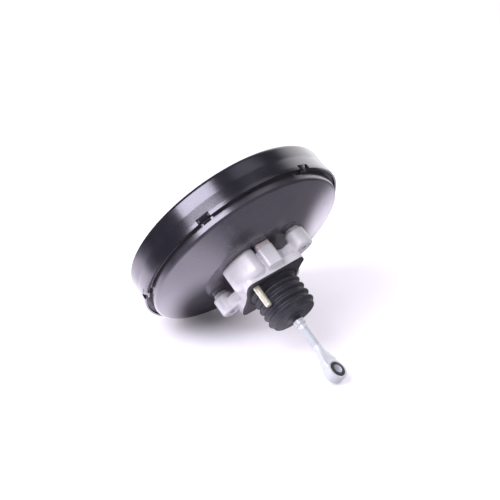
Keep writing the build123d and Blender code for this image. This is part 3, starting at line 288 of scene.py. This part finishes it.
def copy_of(node, name):
    """A merged copy of a frame node's mesh, to be finished as a piece of its own."""
    source = frame["nodes"][node]
    piece = bpy.data.objects.new(name, source.data.copy())
    bpy.context.scene.collection.objects.link(piece)
    pick(piece)
    bpy.ops.object.mode_set(mode="EDIT")
    bpy.ops.mesh.select_all(action="SELECT")
    bpy.ops.mesh.remove_doubles(threshold=MERGE)
    bpy.ops.object.mode_set(mode="OBJECT")
    return piece


def cut(piece, cutter):
    """Take the cutter's volume out of a piece."""
    modify(piece, "BOOLEAN", operation="DIFFERENCE", solver="EXACT", object=cutter)
    bpy.data.objects.remove(cutter)


def forged(piece, grain, passes):
    """Round all the edges of a piece, as casting or forging leaves them."""
    modify(piece, "REMESH", mode="VOXEL", voxel_size=grain, adaptivity=0.0)
    modify(piece, "SMOOTH", factor=0.5, iterations=passes)


def thread_ridge(radius, core, pitch, low_y, length):
    """One closed ridge, turned along a thread round the Y axis."""
    foot = core - 0.1 * MM
    crest_start, crest_end, flank_end = (low_y + share * pitch for share in (0.4, 0.55, 0.95))
    ridge = drawn([Vector((foot, low_y, 0)), Vector((core, low_y, 0)),
                   Vector((radius, crest_start, 0)), Vector((radius, crest_end, 0)),
                   Vector((core, flank_end, 0)), Vector((foot, flank_end, 0))])
    bpy.ops.mesh.edge_face_add()
    bpy.ops.object.mode_set(mode="OBJECT")
    turns = int(length / pitch) - 1
    steps = THREAD_STEPS * turns
    modify(ridge, "SCREW", axis="Y", angle=2 * pi * turns, screw_offset=pitch * turns,
           iterations=1, steps=steps, render_steps=steps, use_normal_calculate=True,
           use_merge_vertices=False)
    pick(ridge)
    bpy.ops.object.mode_set(mode="EDIT")
    close_mesh(FINE_MERGE)
    return ridge


def finish(piece, body, slot, material, *nodes):
    """Give a finished piece its body and its finish, and hide the nodes that it stands for."""
    piece.data.materials.clear()
    piece.data.materials.append(material)
    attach(piece, body)
    if nodes:
        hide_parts(*nodes)


# ---- finishes --------------------------------------------------------------------------

# The Mix node's colour sockets share their names with its plain ones, so they go by number.
COLOUR_A, COLOUR_B, COLOUR_RESULT = 6, 7, 2


class Wiring:
    """A node tree, with the steps that add nodes to it and wire them."""

    def __init__(self, tree):
        self.tree = tree

    def node(self, kind, **settings):
        """A new shader node with its settings."""
        node = self.tree.nodes.new("ShaderNode" + kind)
        for key, value in settings.items():
            setattr(node, key, value)
        return node

    def feed(self, socket, value):
        """Wire an output to a socket, or write a plain value into it."""
        if isinstance(value, bpy.types.NodeSocket):
            self.tree.links.new(value, socket)
        else:
            socket.default_value = value

    def ranged(self, value, low, high, to_low, to_high, interpolation="LINEAR"):
        """Carry a value from one range to another."""
        node = self.node("MapRange", interpolation_type=interpolation)
        for socket, number in (("Value", value), ("From Min", low), ("From Max", high),
                               ("To Min", to_low), ("To Max", to_high)):
            self.feed(node.inputs[socket], number)
        return node.outputs["Result"]

    def combined(self, operation, first, second):
        """Sum or product of two values."""
        node = self.node("Math", operation=operation)
        self.feed(node.inputs[0], first)
        self.feed(node.inputs[1], second)
        return node.outputs[0]

    def choice(self, factor, usual, special):
        """One of two values, by a factor."""
        node = self.node("Mix", data_type="FLOAT")
        self.feed(node.inputs["Factor"], factor)
        self.feed(node.inputs["A"], usual)
        self.feed(node.inputs["B"], special)
        return node.outputs["Result"]

    def colour_choice(self, factor, usual, special):
        """One of two colours, or a mix of them, by a factor."""
        node = self.node("Mix", data_type="RGBA")
        self.feed(node.inputs["Factor"], factor)
        self.feed(node.inputs[COLOUR_A], usual)
        self.feed(node.inputs[COLOUR_B], special)
        return node.outputs[COLOUR_RESULT]


class Finish(Wiring):
    """A material on Object coordinates that starts from the Principled shader."""

    def __init__(self, name, colour, roughness, metallic=0.0):
        self.material = bpy.data.materials.new(name)
        self.material.use_nodes = True
        super().__init__(self.material.node_tree)
        self.inputs = self.tree.nodes["Principled BSDF"].inputs
        self.base = (*colour, 1.0)
        self.feed(self.inputs["Base Color"], self.base)
        self.feed(self.inputs["Roughness"], roughness)
        self.feed(self.inputs["Metallic"], metallic)
        self.place = self.node("TexCoord").outputs["Object"]

    def noise(self, size, detail):
        """Noise with features of about the given size."""
        node = self.node("TexNoise")
        self.feed(node.inputs["Vector"], self.place)
        self.feed(node.inputs["Scale"], 1.0 / size)
        self.feed(node.inputs["Detail"], detail)
        return node.outputs["Fac"]

    def cells(self, size):
        """Distance to the nearest of a field of random points."""
        node = self.node("TexVoronoi")
        self.feed(node.inputs["Vector"], self.place)
        self.feed(node.inputs["Scale"], 1.0 / size)
        return node.outputs["Distance"]

    def patches(self, colour, size, detail, start, full, most=0.6):
        """Mix in patches of a colour: none where the noise is below start, most above full."""
        factor = self.ranged(self.noise(size, detail), start, full, 0.0, most)
        self.base = self.colour_choice(factor, self.base, (*colour, 1.0))
        self.feed(self.inputs["Base Color"], self.base)

    def bump(self, height, depth, strength):
        """Bump of the given depth, on top of what is there."""
        node = self.node("Bump")
        self.feed(node.inputs["Strength"], strength)
        self.feed(node.inputs["Distance"], depth)
        self.feed(node.inputs["Height"], height)
        if self.inputs["Normal"].is_linked:
            self.feed(node.inputs["Normal"], self.inputs["Normal"].links[0].from_socket)
        self.feed(self.inputs["Normal"], node.outputs["Normal"])

    def roughen(self, size, detail, low, high):
        """Let the roughness vary with noise of a size."""
        self.feed(self.inputs["Roughness"],
                  self.ranged(self.noise(size, detail), 0.3, 0.7, low, high))


def shell_paint(name, colour, colours):
    """Gloss paint with a faint orange peel."""
    coat = Finish(name, colour, roughness=0.2)
    coat.feed(coat.inputs["IOR"], 1.85)
    coat.feed(coat.inputs["Specular Tint"], (0.92, 0.90, 1.0, 1.0))
    coat.bump(coat.noise(4 * MM, detail=2), depth=0.03 * MM, strength=0.5)
    coat.roughen(30 * MM, detail=3, low=0.17, high=0.24)
    coat.patches(colours.paint_patch, 20 * MM, detail=4, start=0.45, full=0.8)
    return coat.material


def gloss_black(colours):
    return shell_paint("Gloss black paint", colours.black_paint, colours)


def lit_wall_black(colours):
    """The same paint on the rear shell, in a lighter colour: painted light that stands in for the
    light which the rear shell catches.
    """
    return shell_paint("Rear shell paint with painted light", colours.lightened_wall_paint, colours)


def cast_aluminium(colours):
    metal = Finish("Cast aluminium", colours.aluminium, roughness=0.5, metallic=0.2)
    metal.roughen(4 * MM, detail=4, low=0.40, high=0.55)
    metal.patches(colours.cast_patch, 9 * MM, detail=4, start=0.45, full=0.75)
    metal.bump(metal.noise(0.7 * MM, detail=3), depth=0.12 * MM, strength=0.6)
    metal.bump(metal.noise(5 * MM, detail=3), depth=0.3 * MM, strength=0.35)
    return metal.material


def black_rubber(colours):
    rubber = Finish("Black rubber", colours.rubber, roughness=0.55)
    rubber.roughen(6 * MM, detail=4, low=0.46, high=0.66)
    rubber.patches(colours.rubber_bloom, 12 * MM, detail=5, start=0.5, full=0.8, most=0.5)
    rubber.bump(rubber.noise(0.9 * MM, detail=3), depth=0.08 * MM, strength=0.5)
    return rubber.material


def zinc_plate(colours):
    zinc = Finish("Zinc plate", colours.zinc, roughness=0.4, metallic=0.2)
    zinc.roughen(3 * MM, detail=4, low=0.34, high=0.48)
    zinc.patches(colours.zinc_patch, 8 * MM, detail=4, start=0.45, full=0.8)
    zinc.bump(zinc.noise(0.5 * MM, detail=2), depth=0.04 * MM, strength=0.5)
    return zinc.material


def cream_zinc(colours):
    zinc = Finish("Cream zinc plate", colours.cream_zinc, roughness=0.4, metallic=0.55)
    zinc.roughen(2 * MM, detail=4, low=0.34, high=0.5)
    zinc.patches(colours.cream_patch, 4 * MM, detail=3, start=0.5, full=0.8, most=0.5)
    return zinc.material


def speckled_pad(colours):
    board = Finish("Speckled pad", colours.pad, roughness=0.85)
    board.patches(colours.pad_speck, 1.2 * MM, detail=2, start=0.5, full=0.62, most=1.0)
    board.patches(colours.pad_fleck, 0.9 * MM, detail=2, start=0.60, full=0.68, most=1.0)
    board.bump(board.noise(0.8 * MM, detail=2), depth=0.2 * MM, strength=0.6)
    return board.material


def moulded_plastic(colours):
    plastic = Finish("Moulded plastic", colours.plastic, roughness=0.45)
    plastic.roughen(5 * MM, detail=3, low=0.38, high=0.52)
    plastic.bump(plastic.noise(0.8 * MM, detail=2), depth=0.05 * MM, strength=0.5)
    return plastic.material


def filter_foam(colours):
    foam = Finish("Filter foam", colours.foam, roughness=0.95)
    foam.bump(foam.cells(1.2 * MM), depth=0.4 * MM, strength=0.9)
    return foam.material


def spring_steel(colours):
    steel = Finish("Spring steel", colours.steel, roughness=0.35, metallic=0.9)
    steel.roughen(2 * MM, detail=3, low=0.28, high=0.45)
    return steel.material


FINISHES = {
    "gloss_black": gloss_black, "cast_aluminium": cast_aluminium,
    "black_rubber": black_rubber, "gasket_rubber": black_rubber, "zinc_steel": zinc_plate,
    "zinc_cream": cream_zinc, "pad_board": speckled_pad, "dark_plastic": moulded_plastic,
    "filter_foam": filter_foam, "spring_steel": spring_steel,
}
made = {}


def finish_for(slot):
    """The material of a slot, made once."""
    maker = FINISHES[slot]
    if maker not in made:
        made[maker] = maker(bpy.context.scene.booster_colours)
    return made[maker]


# ---- pieces ----------------------------------------------------------------------------

class BOOSTER_OT_shells(bpy.types.Operator):
    """Turn both pressed shells, cut the slits of the crimp tabs and bend the tabs"""

    bl_idname = "booster.shells"
    bl_label = "Shells"

    def execute(self, context):
        sizes = context.scene.booster_sizes
        gloss = finish_for("gloss_black")
        collar = FRONT_HIGH.z
        front = turned("front_shell_skin", self.front_section(sizes, collar), SHELL_STEPS)
        cut(front, self.notches(sizes, collar))
        smooth(front)
        finish(front, "booster", "gloss_black", gloss, "front_shell")
        tabs = self.tabs(sizes, collar)
        smooth(tabs)
        finish(tabs, "booster", "gloss_black", gloss)
        rear = turned("rear_shell_skin", self.rear_section(sizes), SHELL_STEPS)
        smooth(rear)
        # The rear shell gets the lighter paint: painted light.
        finish(rear, "booster", "gloss_black", lit_wall_black(context.scene.booster_colours),
               "rear_shell")
        return {"FINISHED"}

    def front_section(self, sizes, collar):
        """Collar, taper, skirt, shoulder, cone, seat and turned-in opening."""
        front_y = FRONT_HIGH.y
        line = rounded([(collar, sizes.seam_y), (collar, sizes.joggle_y),
                        (sizes.skirt_radius, sizes.joggle_y + sizes.joggle_length),
                        (sizes.skirt_radius, sizes.shoulder_y),
                        (sizes.step_radius, sizes.shoulder_y), (sizes.front_seat, front_y),
                        (sizes.opening, front_y),
                        (sizes.opening, front_y - sizes.opening_depth)],
                       [sizes.joggle_bend, sizes.joggle_bend, sizes.shoulder_bend,
                        sizes.step_bend, sizes.step_bend, sizes.opening_bend])
        return sheet_section(line, sizes.sheet)

    def rear_section(self, sizes):
        """Lip, neck, seat, cone, side wall, and the flange deep in the collar."""
        flange_radius = REAR_HIGH.x - sizes.flange_inset
        flange_y = sizes.seam_y + sizes.flange_depth
        line = rounded([(sizes.neck_lip, REAR_LOW.y), (sizes.neck_radius, REAR_LOW.y),
                        (sizes.neck_radius, sizes.seat_y), (sizes.seat_radius, sizes.seat_y),
                        (sizes.wall_radius, sizes.corner_y), (sizes.wall_radius, flange_y),
                        (flange_radius, flange_y)],
                       [sizes.neck_bend] * 3 + [sizes.corner_bend, sizes.flange_bend])
        return sheet_section(line, sizes.sheet)

    def angles(self, sizes):
        """Where the tabs stand, from +X towards +Z."""
        first = radians(117.5)
        return [first + tab * 2 * pi / sizes.tab_count for tab in range(sizes.tab_count)]

    def notches(self, sizes, collar):
        """Blocks that open the collar where the tabs stand."""
        width = sizes.tab_width + 2 * sizes.slit_width
        through = 4 * sizes.sheet
        blocks = []
        for angle in self.angles(sizes):
            deselect()
            bpy.ops.mesh.primitive_cube_add(size=1.0)
            block = bpy.context.object
            block.scale = (through, 2 * sizes.slit_length, width)
            block.location = (cos(angle) * collar, sizes.seam_y, sin(angle) * collar)
            block.rotation_euler = (0, -angle, 0)
            settle(block)
            blocks.append(block)
        return joined(blocks, "notches")

    def tabs(self, sizes, collar):
        """Tabs that start in the collar and turn in behind the rear shell's flange."""
        sunk = 0.5 * MM
        overlap = 0.6 * MM
        start = Vector((collar - sunk, sizes.seam_y + sizes.slit_length + overlap))
        knee = Vector((collar - 3.5 * MM, sizes.seam_y - 0.4 * MM))
        tip = Vector((collar - 5.0 * MM, sizes.seam_y - 1.4 * MM))
        line = rounded([start, knee, tip], [sizes.tab_bend])
        section = sheet_section(line, -sizes.tab_sheet)
        strips = []
        for angle in self.angles(sizes):
            strip = drawn([Vector((p.x, p.y, -sizes.tab_width / 2)) for p in section])
            bpy.ops.mesh.edge_face_add()
            bpy.ops.mesh.extrude_region_move(
                TRANSFORM_OT_translate={"value": (0, 0, sizes.tab_width)})
            close_mesh()
            modify(strip, "BEVEL", width=sizes.tab_edge, segments=2, limit_method="ANGLE")
            strip.rotation_euler = (0, -angle, 0)
            settle(strip)
            strips.append(strip)
        return joined(strips, "crimp_tabs")


class BOOSTER_OT_spacer(bpy.types.Operator):
    """Give the cast spacer its rounded casting edges, and dress the pads and the gasket"""

    bl_idname = "booster.spacer"
    bl_label = "Cast spacer"

    def execute(self, context):
        casting = copy_of("bracket", "cast_spacer")
        forged(casting, context.scene.booster_sizes.cast_grain, passes=3)
        smooth(casting, 60)
        finish(casting, "booster", "cast_aluminium", finish_for("cast_aluminium"), "bracket")
        for node, slot, bevel in (("column_pads", "pad_board", 0.8 * MM),
                                  ("gasket", "gasket_rubber", 0.5 * MM)):
            piece = copy_of(node, node + "_soft")
            modify(piece, "DECIMATE", decimate_type="DISSOLVE", angle_limit=radians(2))
            modify(piece, "BEVEL", width=bevel, segments=2, limit_method="ANGLE")
            smooth(piece)
            finish(piece, "booster", slot, finish_for(slot), node)
        return {"FINISHED"}


class BOOSTER_OT_studs(bpy.types.Operator):
    """Model the threaded studs of the bulkhead and the master cylinder"""

    bl_idname = "booster.studs"
    bl_label = "Studs"

    def execute(self, context):
        sizes = context.scene.booster_sizes
        low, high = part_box("bulkhead_studs")
        offset = high.x - sizes.bulkhead_head
        rear = []
        for x in (-offset, offset):
            stud = self.stud(sizes, low.y, high.y, sizes.bulkhead_head, sizes.bulkhead_thread)
            stud.location = (x, 0, -x)
            settle(stud)
            rear.append(stud)
        self.hand_over(rear, "bulkhead_stud_threads", "bulkhead_studs")

        low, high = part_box("cylinder_studs")
        offset = high.x - sizes.cylinder_head
        front = []
        for x in (-offset, offset):
            stud = self.stud(sizes, low.y, high.y, sizes.cylinder_head, sizes.cylinder_thread)
            stud.rotation_euler = (0, 0, pi)
            stud.location = (x, low.y + high.y, 0)
            settle(stud)
            front.append(stud)
        self.hand_over(front, "cylinder_stud_threads", "cylinder_studs")
        return {"FINISHED"}

    def hand_over(self, studs, name, node):
        """Join a set of studs and give it its finish."""
        piece = joined(studs, name)
        smooth(piece)
        finish(piece, "booster", "zinc_cream", finish_for("zinc_cream"), node)

    def stud(self, sizes, tip_y, head_y, head, thread_length):
        """A stud that points to -Y: head, plain shank and a real thread to the tip."""
        radius = sizes.stud_radius
        core = radius - sizes.thread_depth
        neck_y = head_y - sizes.head_length
        thread_y = tip_y + thread_length
        chamfer = 0.6 * MM
        lead = 1.0 * MM
        line = rounded([(0, head_y), (head, head_y), (head, neck_y), (radius, neck_y),
                        (radius, thread_y), (core, thread_y), (core, tip_y + chamfer),
                        (core - chamfer, tip_y), (0, tip_y)],
                       [bend * MM for bend in (0.4, 0.4, 0.2, 0.1, 0.1, 0.2, 0.2)],
                       steps=2)
        shank = turned("stud", line, steps=32, closed=False)
        thread = thread_ridge(radius, core, sizes.thread_pitch, tip_y + lead,
                              thread_length - lead)
        return joined([shank, thread], "stud")


class BOOSTER_OT_boot(bpy.types.Operator):
    """Turn the folded rubber boot and the lip that rides on the rod"""

    bl_idname = "booster.boot"
    bl_label = "Boot"

    def execute(self, context):
        sizes = context.scene.booster_sizes
        rubber = finish_for("black_rubber")
        low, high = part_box("boot")
        end_y = -sizes.boot_end
        boot = turned("boot_folds", self.fold_section(sizes, high.y, end_y))
        modify(boot, "SUBSURF", levels=1, render_levels=1)
        smooth(boot, 60)
        finish(boot, "booster", "black_rubber", rubber, "boot")
        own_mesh(boot)
        lip = turned("boot_lip", self.lip_section(low.y, end_y), steps=64)
        smooth(lip)
        finish(lip, "input_rod", "black_rubber", rubber)
        return {"FINISHED"}

    def fold_section(self, sizes, cuff_y, end_y):
        """Cuff, folds and end cap, from the bracket to the rod."""
        crest = sizes.boot_crest
        corners = [(sizes.boot_cuff, cuff_y), (sizes.boot_cuff, 0)]
        bends = [2.0 * MM]
        for fold in range(sizes.boot_folds):
            crest_y = -sizes.boot_first - fold * sizes.boot_pitch
            corners += [(sizes.boot_root, crest_y + 0.5 * sizes.boot_pitch), (crest, crest_y)]
            bends += [1.8 * MM, 1.7 * MM]
        cap_y = end_y - 0.6 * MM
        cap_radius = 13 * MM
        cap_bore = 9 * MM
        corners += [(crest - 3.4 * MM, end_y + 4.0 * MM), (crest - 4.4 * MM, end_y + 0.2 * MM),
                    (cap_radius, cap_y), (cap_bore, cap_y)]
        bends += [1.4 * MM, 1.2 * MM, 1.6 * MM]
        return sheet_section(rounded(corners, bends, steps=5), -sizes.boot_wall)

    def lip_section(self, tip_y, end_y):
        """Solid lip that grips the rod."""
        bore, tip, neck, rim = 5.2 * MM, 6.9 * MM, 7.4 * MM, 12.5 * MM
        return rounded([(bore, end_y + 1.0 * MM), (rim, end_y + 0.8 * MM),
                        (rim, end_y - 1.2 * MM), (neck, end_y - 2.2 * MM), (tip, tip_y),
                        (bore, tip_y)],
                       [0.5 * MM, 0.7 * MM, 1.2 * MM, 0.5 * MM], steps=3)


class BOOSTER_OT_rod(bpy.types.Operator):
    """Forge the input rod with its eye, and model its thread, sleeve and bush"""

    bl_idname = "booster.rod"
    bl_label = "Input rod"

    def execute(self, context):
        sizes = context.scene.booster_sizes
        zinc = finish_for("zinc_steel")
        rod = copy_of("input_rod", "forged_rod")
        forged(rod, sizes.rod_grain, passes=4)
        core = sizes.rod_radius - sizes.thread_depth
        low = EYE_CENTRE.y + sizes.rod_thread_start
        high = EYE_CENTRE.y + sizes.rod_thread_end
        clear = 1.2 * sizes.rod_radius
        groove = [(core, low), (clear, low), (clear, high), (core, high)]
        cut(rod, turned("groove", groove, steps=48))
        lead = 0.5 * MM
        thread = thread_ridge(sizes.rod_radius, core, sizes.rod_pitch, low + lead,
                              high - low - lead)
        rod = joined([rod, thread], "forged_rod")
        smooth(rod, 50)
        finish(rod, "input_rod", "zinc_steel", zinc, "input_rod")

        sleeve = self.ring([(sizes.sleeve_bore, -sizes.sleeve_end),
                            (sizes.sleeve_radius, -sizes.sleeve_end)],
                           0.2 * MM, "eye_sleeve_ring")
        finish(sleeve, "input_rod", "zinc_steel", zinc, "eye_sleeve")
        play = 0.05 * MM
        lip = 5.4 * MM
        bush = self.ring([(sizes.sleeve_radius + play, -sizes.sleeve_end - play),
                          (lip, -sizes.sleeve_end - play), (lip, -6.7 * MM),
                          (8.6 * MM, -6.4 * MM), (9.55 * MM, -6.2 * MM)],
                         0.08 * MM, "eye_bush_ring")
        finish(bush, "input_rod", "black_rubber", finish_for("black_rubber"), "eye_bush")
        return {"FINISHED"}

    def ring(self, half, bend, name):
        """Ring round the bore of the rod's eye, alike on both sides."""
        corners = half + [(radius, -y) for radius, y in reversed(half)]
        middle = (half[0][0], 0)
        line = rounded([middle] + corners + [middle], [bend] * len(corners), steps=3)
        ring = turned(name, line[:-1], steps=96)
        turn = radians(58.0)
        bore_axis = Vector((cos(turn), 0, sin(turn)))
        ring.rotation_euler = bore_axis.to_track_quat("Y", "Z").to_euler()
        ring.location = EYE_CENTRE
        settle(ring)
        smooth(ring)
        return ring


class BOOSTER_OT_springs(bpy.types.Operator):
    """Give each spring a smooth copy of its coil in spring steel, on its body"""

    bl_idname = "booster.springs"
    bl_label = "Springs"

    def execute(self, context):
        steel = finish_for("spring_steel")
        for node, body, joint in (("return_spring", "booster", "power_piston_slide"),
                                  ("rod_spring", "power_piston", "plunger_slide"),
                                  ("check_spring", "booster", "check_disc_lift")):
            spring = copy_of(node, node + "_coil")
            smooth(spring, 60)
            finish(spring, body, "spring_steel", steel, node)
            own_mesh(spring)
        return {"FINISHED"}


class BOOSTER_OT_small_pieces(bpy.types.Operator):
    """Finish the pieces of the frame whose own shape is right"""

    bl_idname = "booster.small_pieces"
    bl_label = "Other pieces"

    def execute(self, context):
        for part in frame["record"]["subparts"]:
            piece = frame["nodes"][part["node"]]
            if piece.hide_render:
                continue
            piece.data.materials.clear()
            piece.data.materials.append(finish_for(part["material_slot"]))
        return {"FINISHED"}


# ---- stage -----------------------------------------------------------------------------

CAMERA_PLACE = Vector((-0.48869, -0.46375, 1.35223))
CAMERA_RIGHT = Vector((0.8281, -0.5534, 0.0893))
CAMERA_UP = Vector((0.4590, 0.7608, 0.4587))
CAMERA_BACK = Vector((-0.3218, -0.3389, 0.8841))
FOCAL_LENGTH = 93.6
SENSOR_WIDTH = 36.0

LAMP_AIM = Vector((0, 0.07, 0.05))
LAMP_DIRECTION = Vector((-0.495, 0.361, 0.790))
LAMP_DISTANCE = 1.5
LAMP_WIDTH = 1.02
LAMP_HEIGHT = 0.90
LAMP_POWER = 24.5
LAMP_COLOUR = (0.93, 0.90, 1.0)

FILL = 0.70
WALL_BASE = 0.03
# Walls that only reflections see: direction, cosines of the edge and of the full part, brightness.
WALLS = [((0.857, 0.373, -0.353), 0.76, 0.97, 1.7),
         ((0.470, 0.339, 0.815), 0.92, 1.0, 0.60),
         ((0.512, 0.682, -0.522), 0.60, 0.88, 0.45)]

FLOOR_UP = Vector((0.27610, 0.52992, 0.80185))
FLOOR_MIDDLE = Vector((0, 0.05, 0))
FLOOR_RADIUS = 3.0
FLOOR_FADE = (0.30, 1.0, 0.0, 1.0)
GLOW_COLOUR = (0.92, 0.86, 1.0, 1.0)
GLOW_BASE = 0.1
# Spots of the floor that reflections see brighter: place, distances of the edge and of the
# full part, brightness.
BRIGHT_SPOTS = [((-0.125, -0.020, -0.048), 0.19, 0.06, 1.9),
                ((0.245, 0.035, -0.205), 0.13, 0.04, 1.9),
                ((-0.231, 0.151, -0.119), 0.25, 0.06, 1.9)]
# Distances from a place and the values there. The first is painted shadow under the rim, where the
# floor's glow in reflections fades out. The second is the floor's lift to the camera, left out near
# the rim as painted shadow on top of the real one.
PAINTED_SHADOW_UNDER_RIM = ((-0.030, 0.035, -0.100), (0.045, 0.095, 0.0, 1.0))
FLOOR_LIFT_AND_PAINTED_SHADOW = ((-0.052, 0.042, -0.107), (0.0, 0.09, 0.0, 0.45))


class BOOSTER_OT_stage(bpy.types.Operator):
    """Set the camera, the softbox, the backdrop and the floor that the booster lies on"""

    bl_idname = "booster.stage"
    bl_label = "Stage"

    def execute(self, context):
        scene = context.scene
        scene.view_settings.view_transform = "Standard"
        self.camera(scene)
        self.softbox()
        self.backdrop(scene)
        self.floor(scene.booster_colours)
        return {"FINISHED"}

    def held(self, name, data, place, across, up, back):
        """A lamp or camera at a place, turned so that it looks against back."""
        holder = bpy.data.objects.new(name, data)
        bpy.context.scene.collection.objects.link(holder)
        turn = Matrix((across, up, back)).transposed().to_4x4()
        holder.matrix_world = Matrix.Translation(place) @ turn
        return holder

    def camera(self, scene):
        """A camera that looks down at the pedal side."""
        camera = bpy.data.cameras.new("Camera")
        camera.lens = FOCAL_LENGTH
        camera.sensor_width = SENSOR_WIDTH
        camera.clip_start = 0.05
        camera.clip_end = 20.0
        scene.camera = self.held("Camera", camera, CAMERA_PLACE, CAMERA_RIGHT, CAMERA_UP,
                                 CAMERA_BACK)

    def softbox(self):
        """A rectangular lamp that faces the booster."""
        away = LAMP_DIRECTION.normalized()
        lamp = bpy.data.lights.new("Softbox", "AREA")
        lamp.shape = "RECTANGLE"
        lamp.size = LAMP_WIDTH
        lamp.size_y = LAMP_HEIGHT
        lamp.energy = LAMP_POWER
        lamp.color = LAMP_COLOUR
        across = Vector((0, 1, 0)).cross(away).normalized()
        self.held("Softbox", lamp, LAMP_AIM + away * LAMP_DISTANCE, across,
                  away.cross(across), away)

    def backdrop(self, scene):
        """White to the camera, an even fill, and bright walls in the reflections."""
        scene.world = bpy.data.worlds.new("Studio")
        scene.world.use_nodes = True
        studio = Wiring(scene.world.node_tree)
        back = studio.tree.nodes["Background"].inputs
        rays = studio.node("LightPath").outputs
        first, *others = [self.wall(studio, *wall) for wall in WALLS]
        mirrored = first
        for wall in others:
            mirrored = studio.combined("ADD", mirrored, wall)
        level = studio.choice(rays["Is Glossy Ray"], FILL, mirrored)
        studio.feed(back["Color"], (1.0, 0.99, 1.0, 1.0))
        studio.feed(back["Strength"], studio.choice(rays["Is Camera Ray"], level, 1.0))

    def wall(self, studio, direction, edge, full, brightness):
        """Brightness that grows smoothly from the edge of a wall to its middle."""
        towards = studio.node("VectorMath", operation="DOT_PRODUCT")
        studio.feed(towards.inputs[0], studio.node("TexCoord").outputs["Generated"])
        studio.feed(towards.inputs[1], Vector(direction).normalized())
        return studio.ranged(towards.outputs["Value"], edge, full, WALL_BASE,
                             WALL_BASE + brightness, "SMOOTHSTEP")

    def floor(self, colours):
        """A pale floor under the rim and the rod's eye."""
        height = min(FLOOR_UP @ vertex.co for node in frame["nodes"].values()
                     for vertex in node.data.vertices)
        middle = FLOOR_MIDDLE + FLOOR_UP * (height - FLOOR_UP @ FLOOR_MIDDLE)
        deselect()
        bpy.ops.mesh.primitive_circle_add(vertices=96, radius=FLOOR_RADIUS, fill_type="NGON")
        floor = bpy.context.object
        floor.name = "floor"
        floor.rotation_euler = FLOOR_UP.to_track_quat("Z", "Y").to_euler()
        floor.location = middle
        settle(floor)
        floor.data.materials.append(self.floor_finish(colours, middle))

    def floor_finish(self, colours, middle):
        """Matt and pale, brighter in reflections, and clear far out and from below."""
        matt = Finish("Pale floor", colours.floor, roughness=0.9)
        matt.feed(matt.inputs["Specular IOR Level"], 0.0)
        rays = matt.node("LightPath").outputs
        dull = matt.choice(rays["Is Glossy Ray"], 0.0, 1.0)
        matt.feed(matt.inputs["Base Color"],
                  matt.colour_choice(dull, matt.base, (*colours.floor_mirrored, 1.0)))

        mirrored = GLOW_BASE
        for place, edge, full, brightness in BRIGHT_SPOTS:
            spot = self.reach(matt, place, (full, edge, brightness, 0.0))
            mirrored = matt.combined("ADD", mirrored, spot)
        # Painted shadow: the glow that reflections see fades out under the rim.
        mirrored = matt.combined("MULTIPLY", mirrored, self.reach(matt, *PAINTED_SHADOW_UNDER_RIM))
        # The camera sees the floor lifted, but not near the rim: painted shadow there, on top of
        # the real shadow.
        lift = matt.choice(rays["Is Camera Ray"], 0.0, self.reach(matt, *FLOOR_LIFT_AND_PAINTED_SHADOW))
        glow = matt.node("Emission")
        matt.feed(glow.inputs["Color"], GLOW_COLOUR)
        matt.feed(glow.inputs["Strength"], matt.choice(rays["Is Glossy Ray"], lift, mirrored))
        seen = matt.node("AddShader")
        matt.feed(seen.inputs[0], matt.tree.nodes["Principled BSDF"].outputs[0])
        matt.feed(seen.inputs[1], glow.outputs[0])

        far = self.reach(matt, middle, FLOOR_FADE)
        hidden = matt.choice(rays["Is Glossy Ray"], 0.0, far)
        below = matt.node("NewGeometry").outputs["Backfacing"]
        faded = matt.node("MixShader")
        matt.feed(faded.inputs[0], matt.choice(below, hidden, 1.0))
        matt.feed(faded.inputs[1], seen.outputs[0])
        matt.feed(faded.inputs[2], matt.node("BsdfTransparent").outputs[0])
        matt.feed(matt.tree.nodes["Material Output"].inputs["Surface"], faded.outputs[0])
        return matt.material

    def reach(self, matt, centre, ramp):
        """Value that changes smoothly with the distance from a point in the scene."""
        distance = matt.node("VectorMath", operation="DISTANCE")
        matt.feed(distance.inputs[0], matt.place)
        matt.feed(distance.inputs[1], centre)
        return matt.ranged(distance.outputs["Value"], *ramp, "SMOOTHSTEP")


class BOOSTER_PT_panel(bpy.types.Panel):
    """Lists the pieces, the sizes and the colours"""

    bl_idname = "BOOSTER_PT_panel"
    bl_label = "Brake booster"
    bl_space_type = "VIEW_3D"
    bl_region_type = "UI"
    bl_category = "Booster"

    def draw(self, context):
        for operator in OPERATORS:
            self.layout.operator(operator.bl_idname)
        for group in (context.scene.booster_sizes, context.scene.booster_colours):
            for name in group.bl_rna.properties.keys():
                if name not in {"rna_type", "name"}:
                    self.layout.prop(group, name)


OPERATORS = [BOOSTER_OT_shells, BOOSTER_OT_spacer, BOOSTER_OT_studs, BOOSTER_OT_boot,
             BOOSTER_OT_rod, BOOSTER_OT_springs, BOOSTER_OT_small_pieces, BOOSTER_OT_stage]
CLASSES = [BoosterSizes, BoosterColours, *OPERATORS, BOOSTER_PT_panel]


def register():
    for cls in CLASSES:
        bpy.utils.register_class(cls)
    bpy.types.Scene.booster_sizes = PointerProperty(type=BoosterSizes)
    bpy.types.Scene.booster_colours = PointerProperty(type=BoosterColours)


def unregister():
    del bpy.types.Scene.booster_colours
    del bpy.types.Scene.booster_sizes
    for cls in reversed(CLASSES):
        bpy.utils.unregister_class(cls)


def main():
    """Build every piece and the stage in order."""
    register()
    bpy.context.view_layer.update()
    bpy.ops.booster.shells()
    bpy.ops.booster.spacer()
    bpy.ops.booster.studs()
    bpy.ops.booster.boot()
    bpy.ops.booster.rod()
    bpy.ops.booster.springs()
    bpy.ops.booster.small_pieces()
    bpy.ops.booster.stage()


if __name__ == "__main__":
    main()
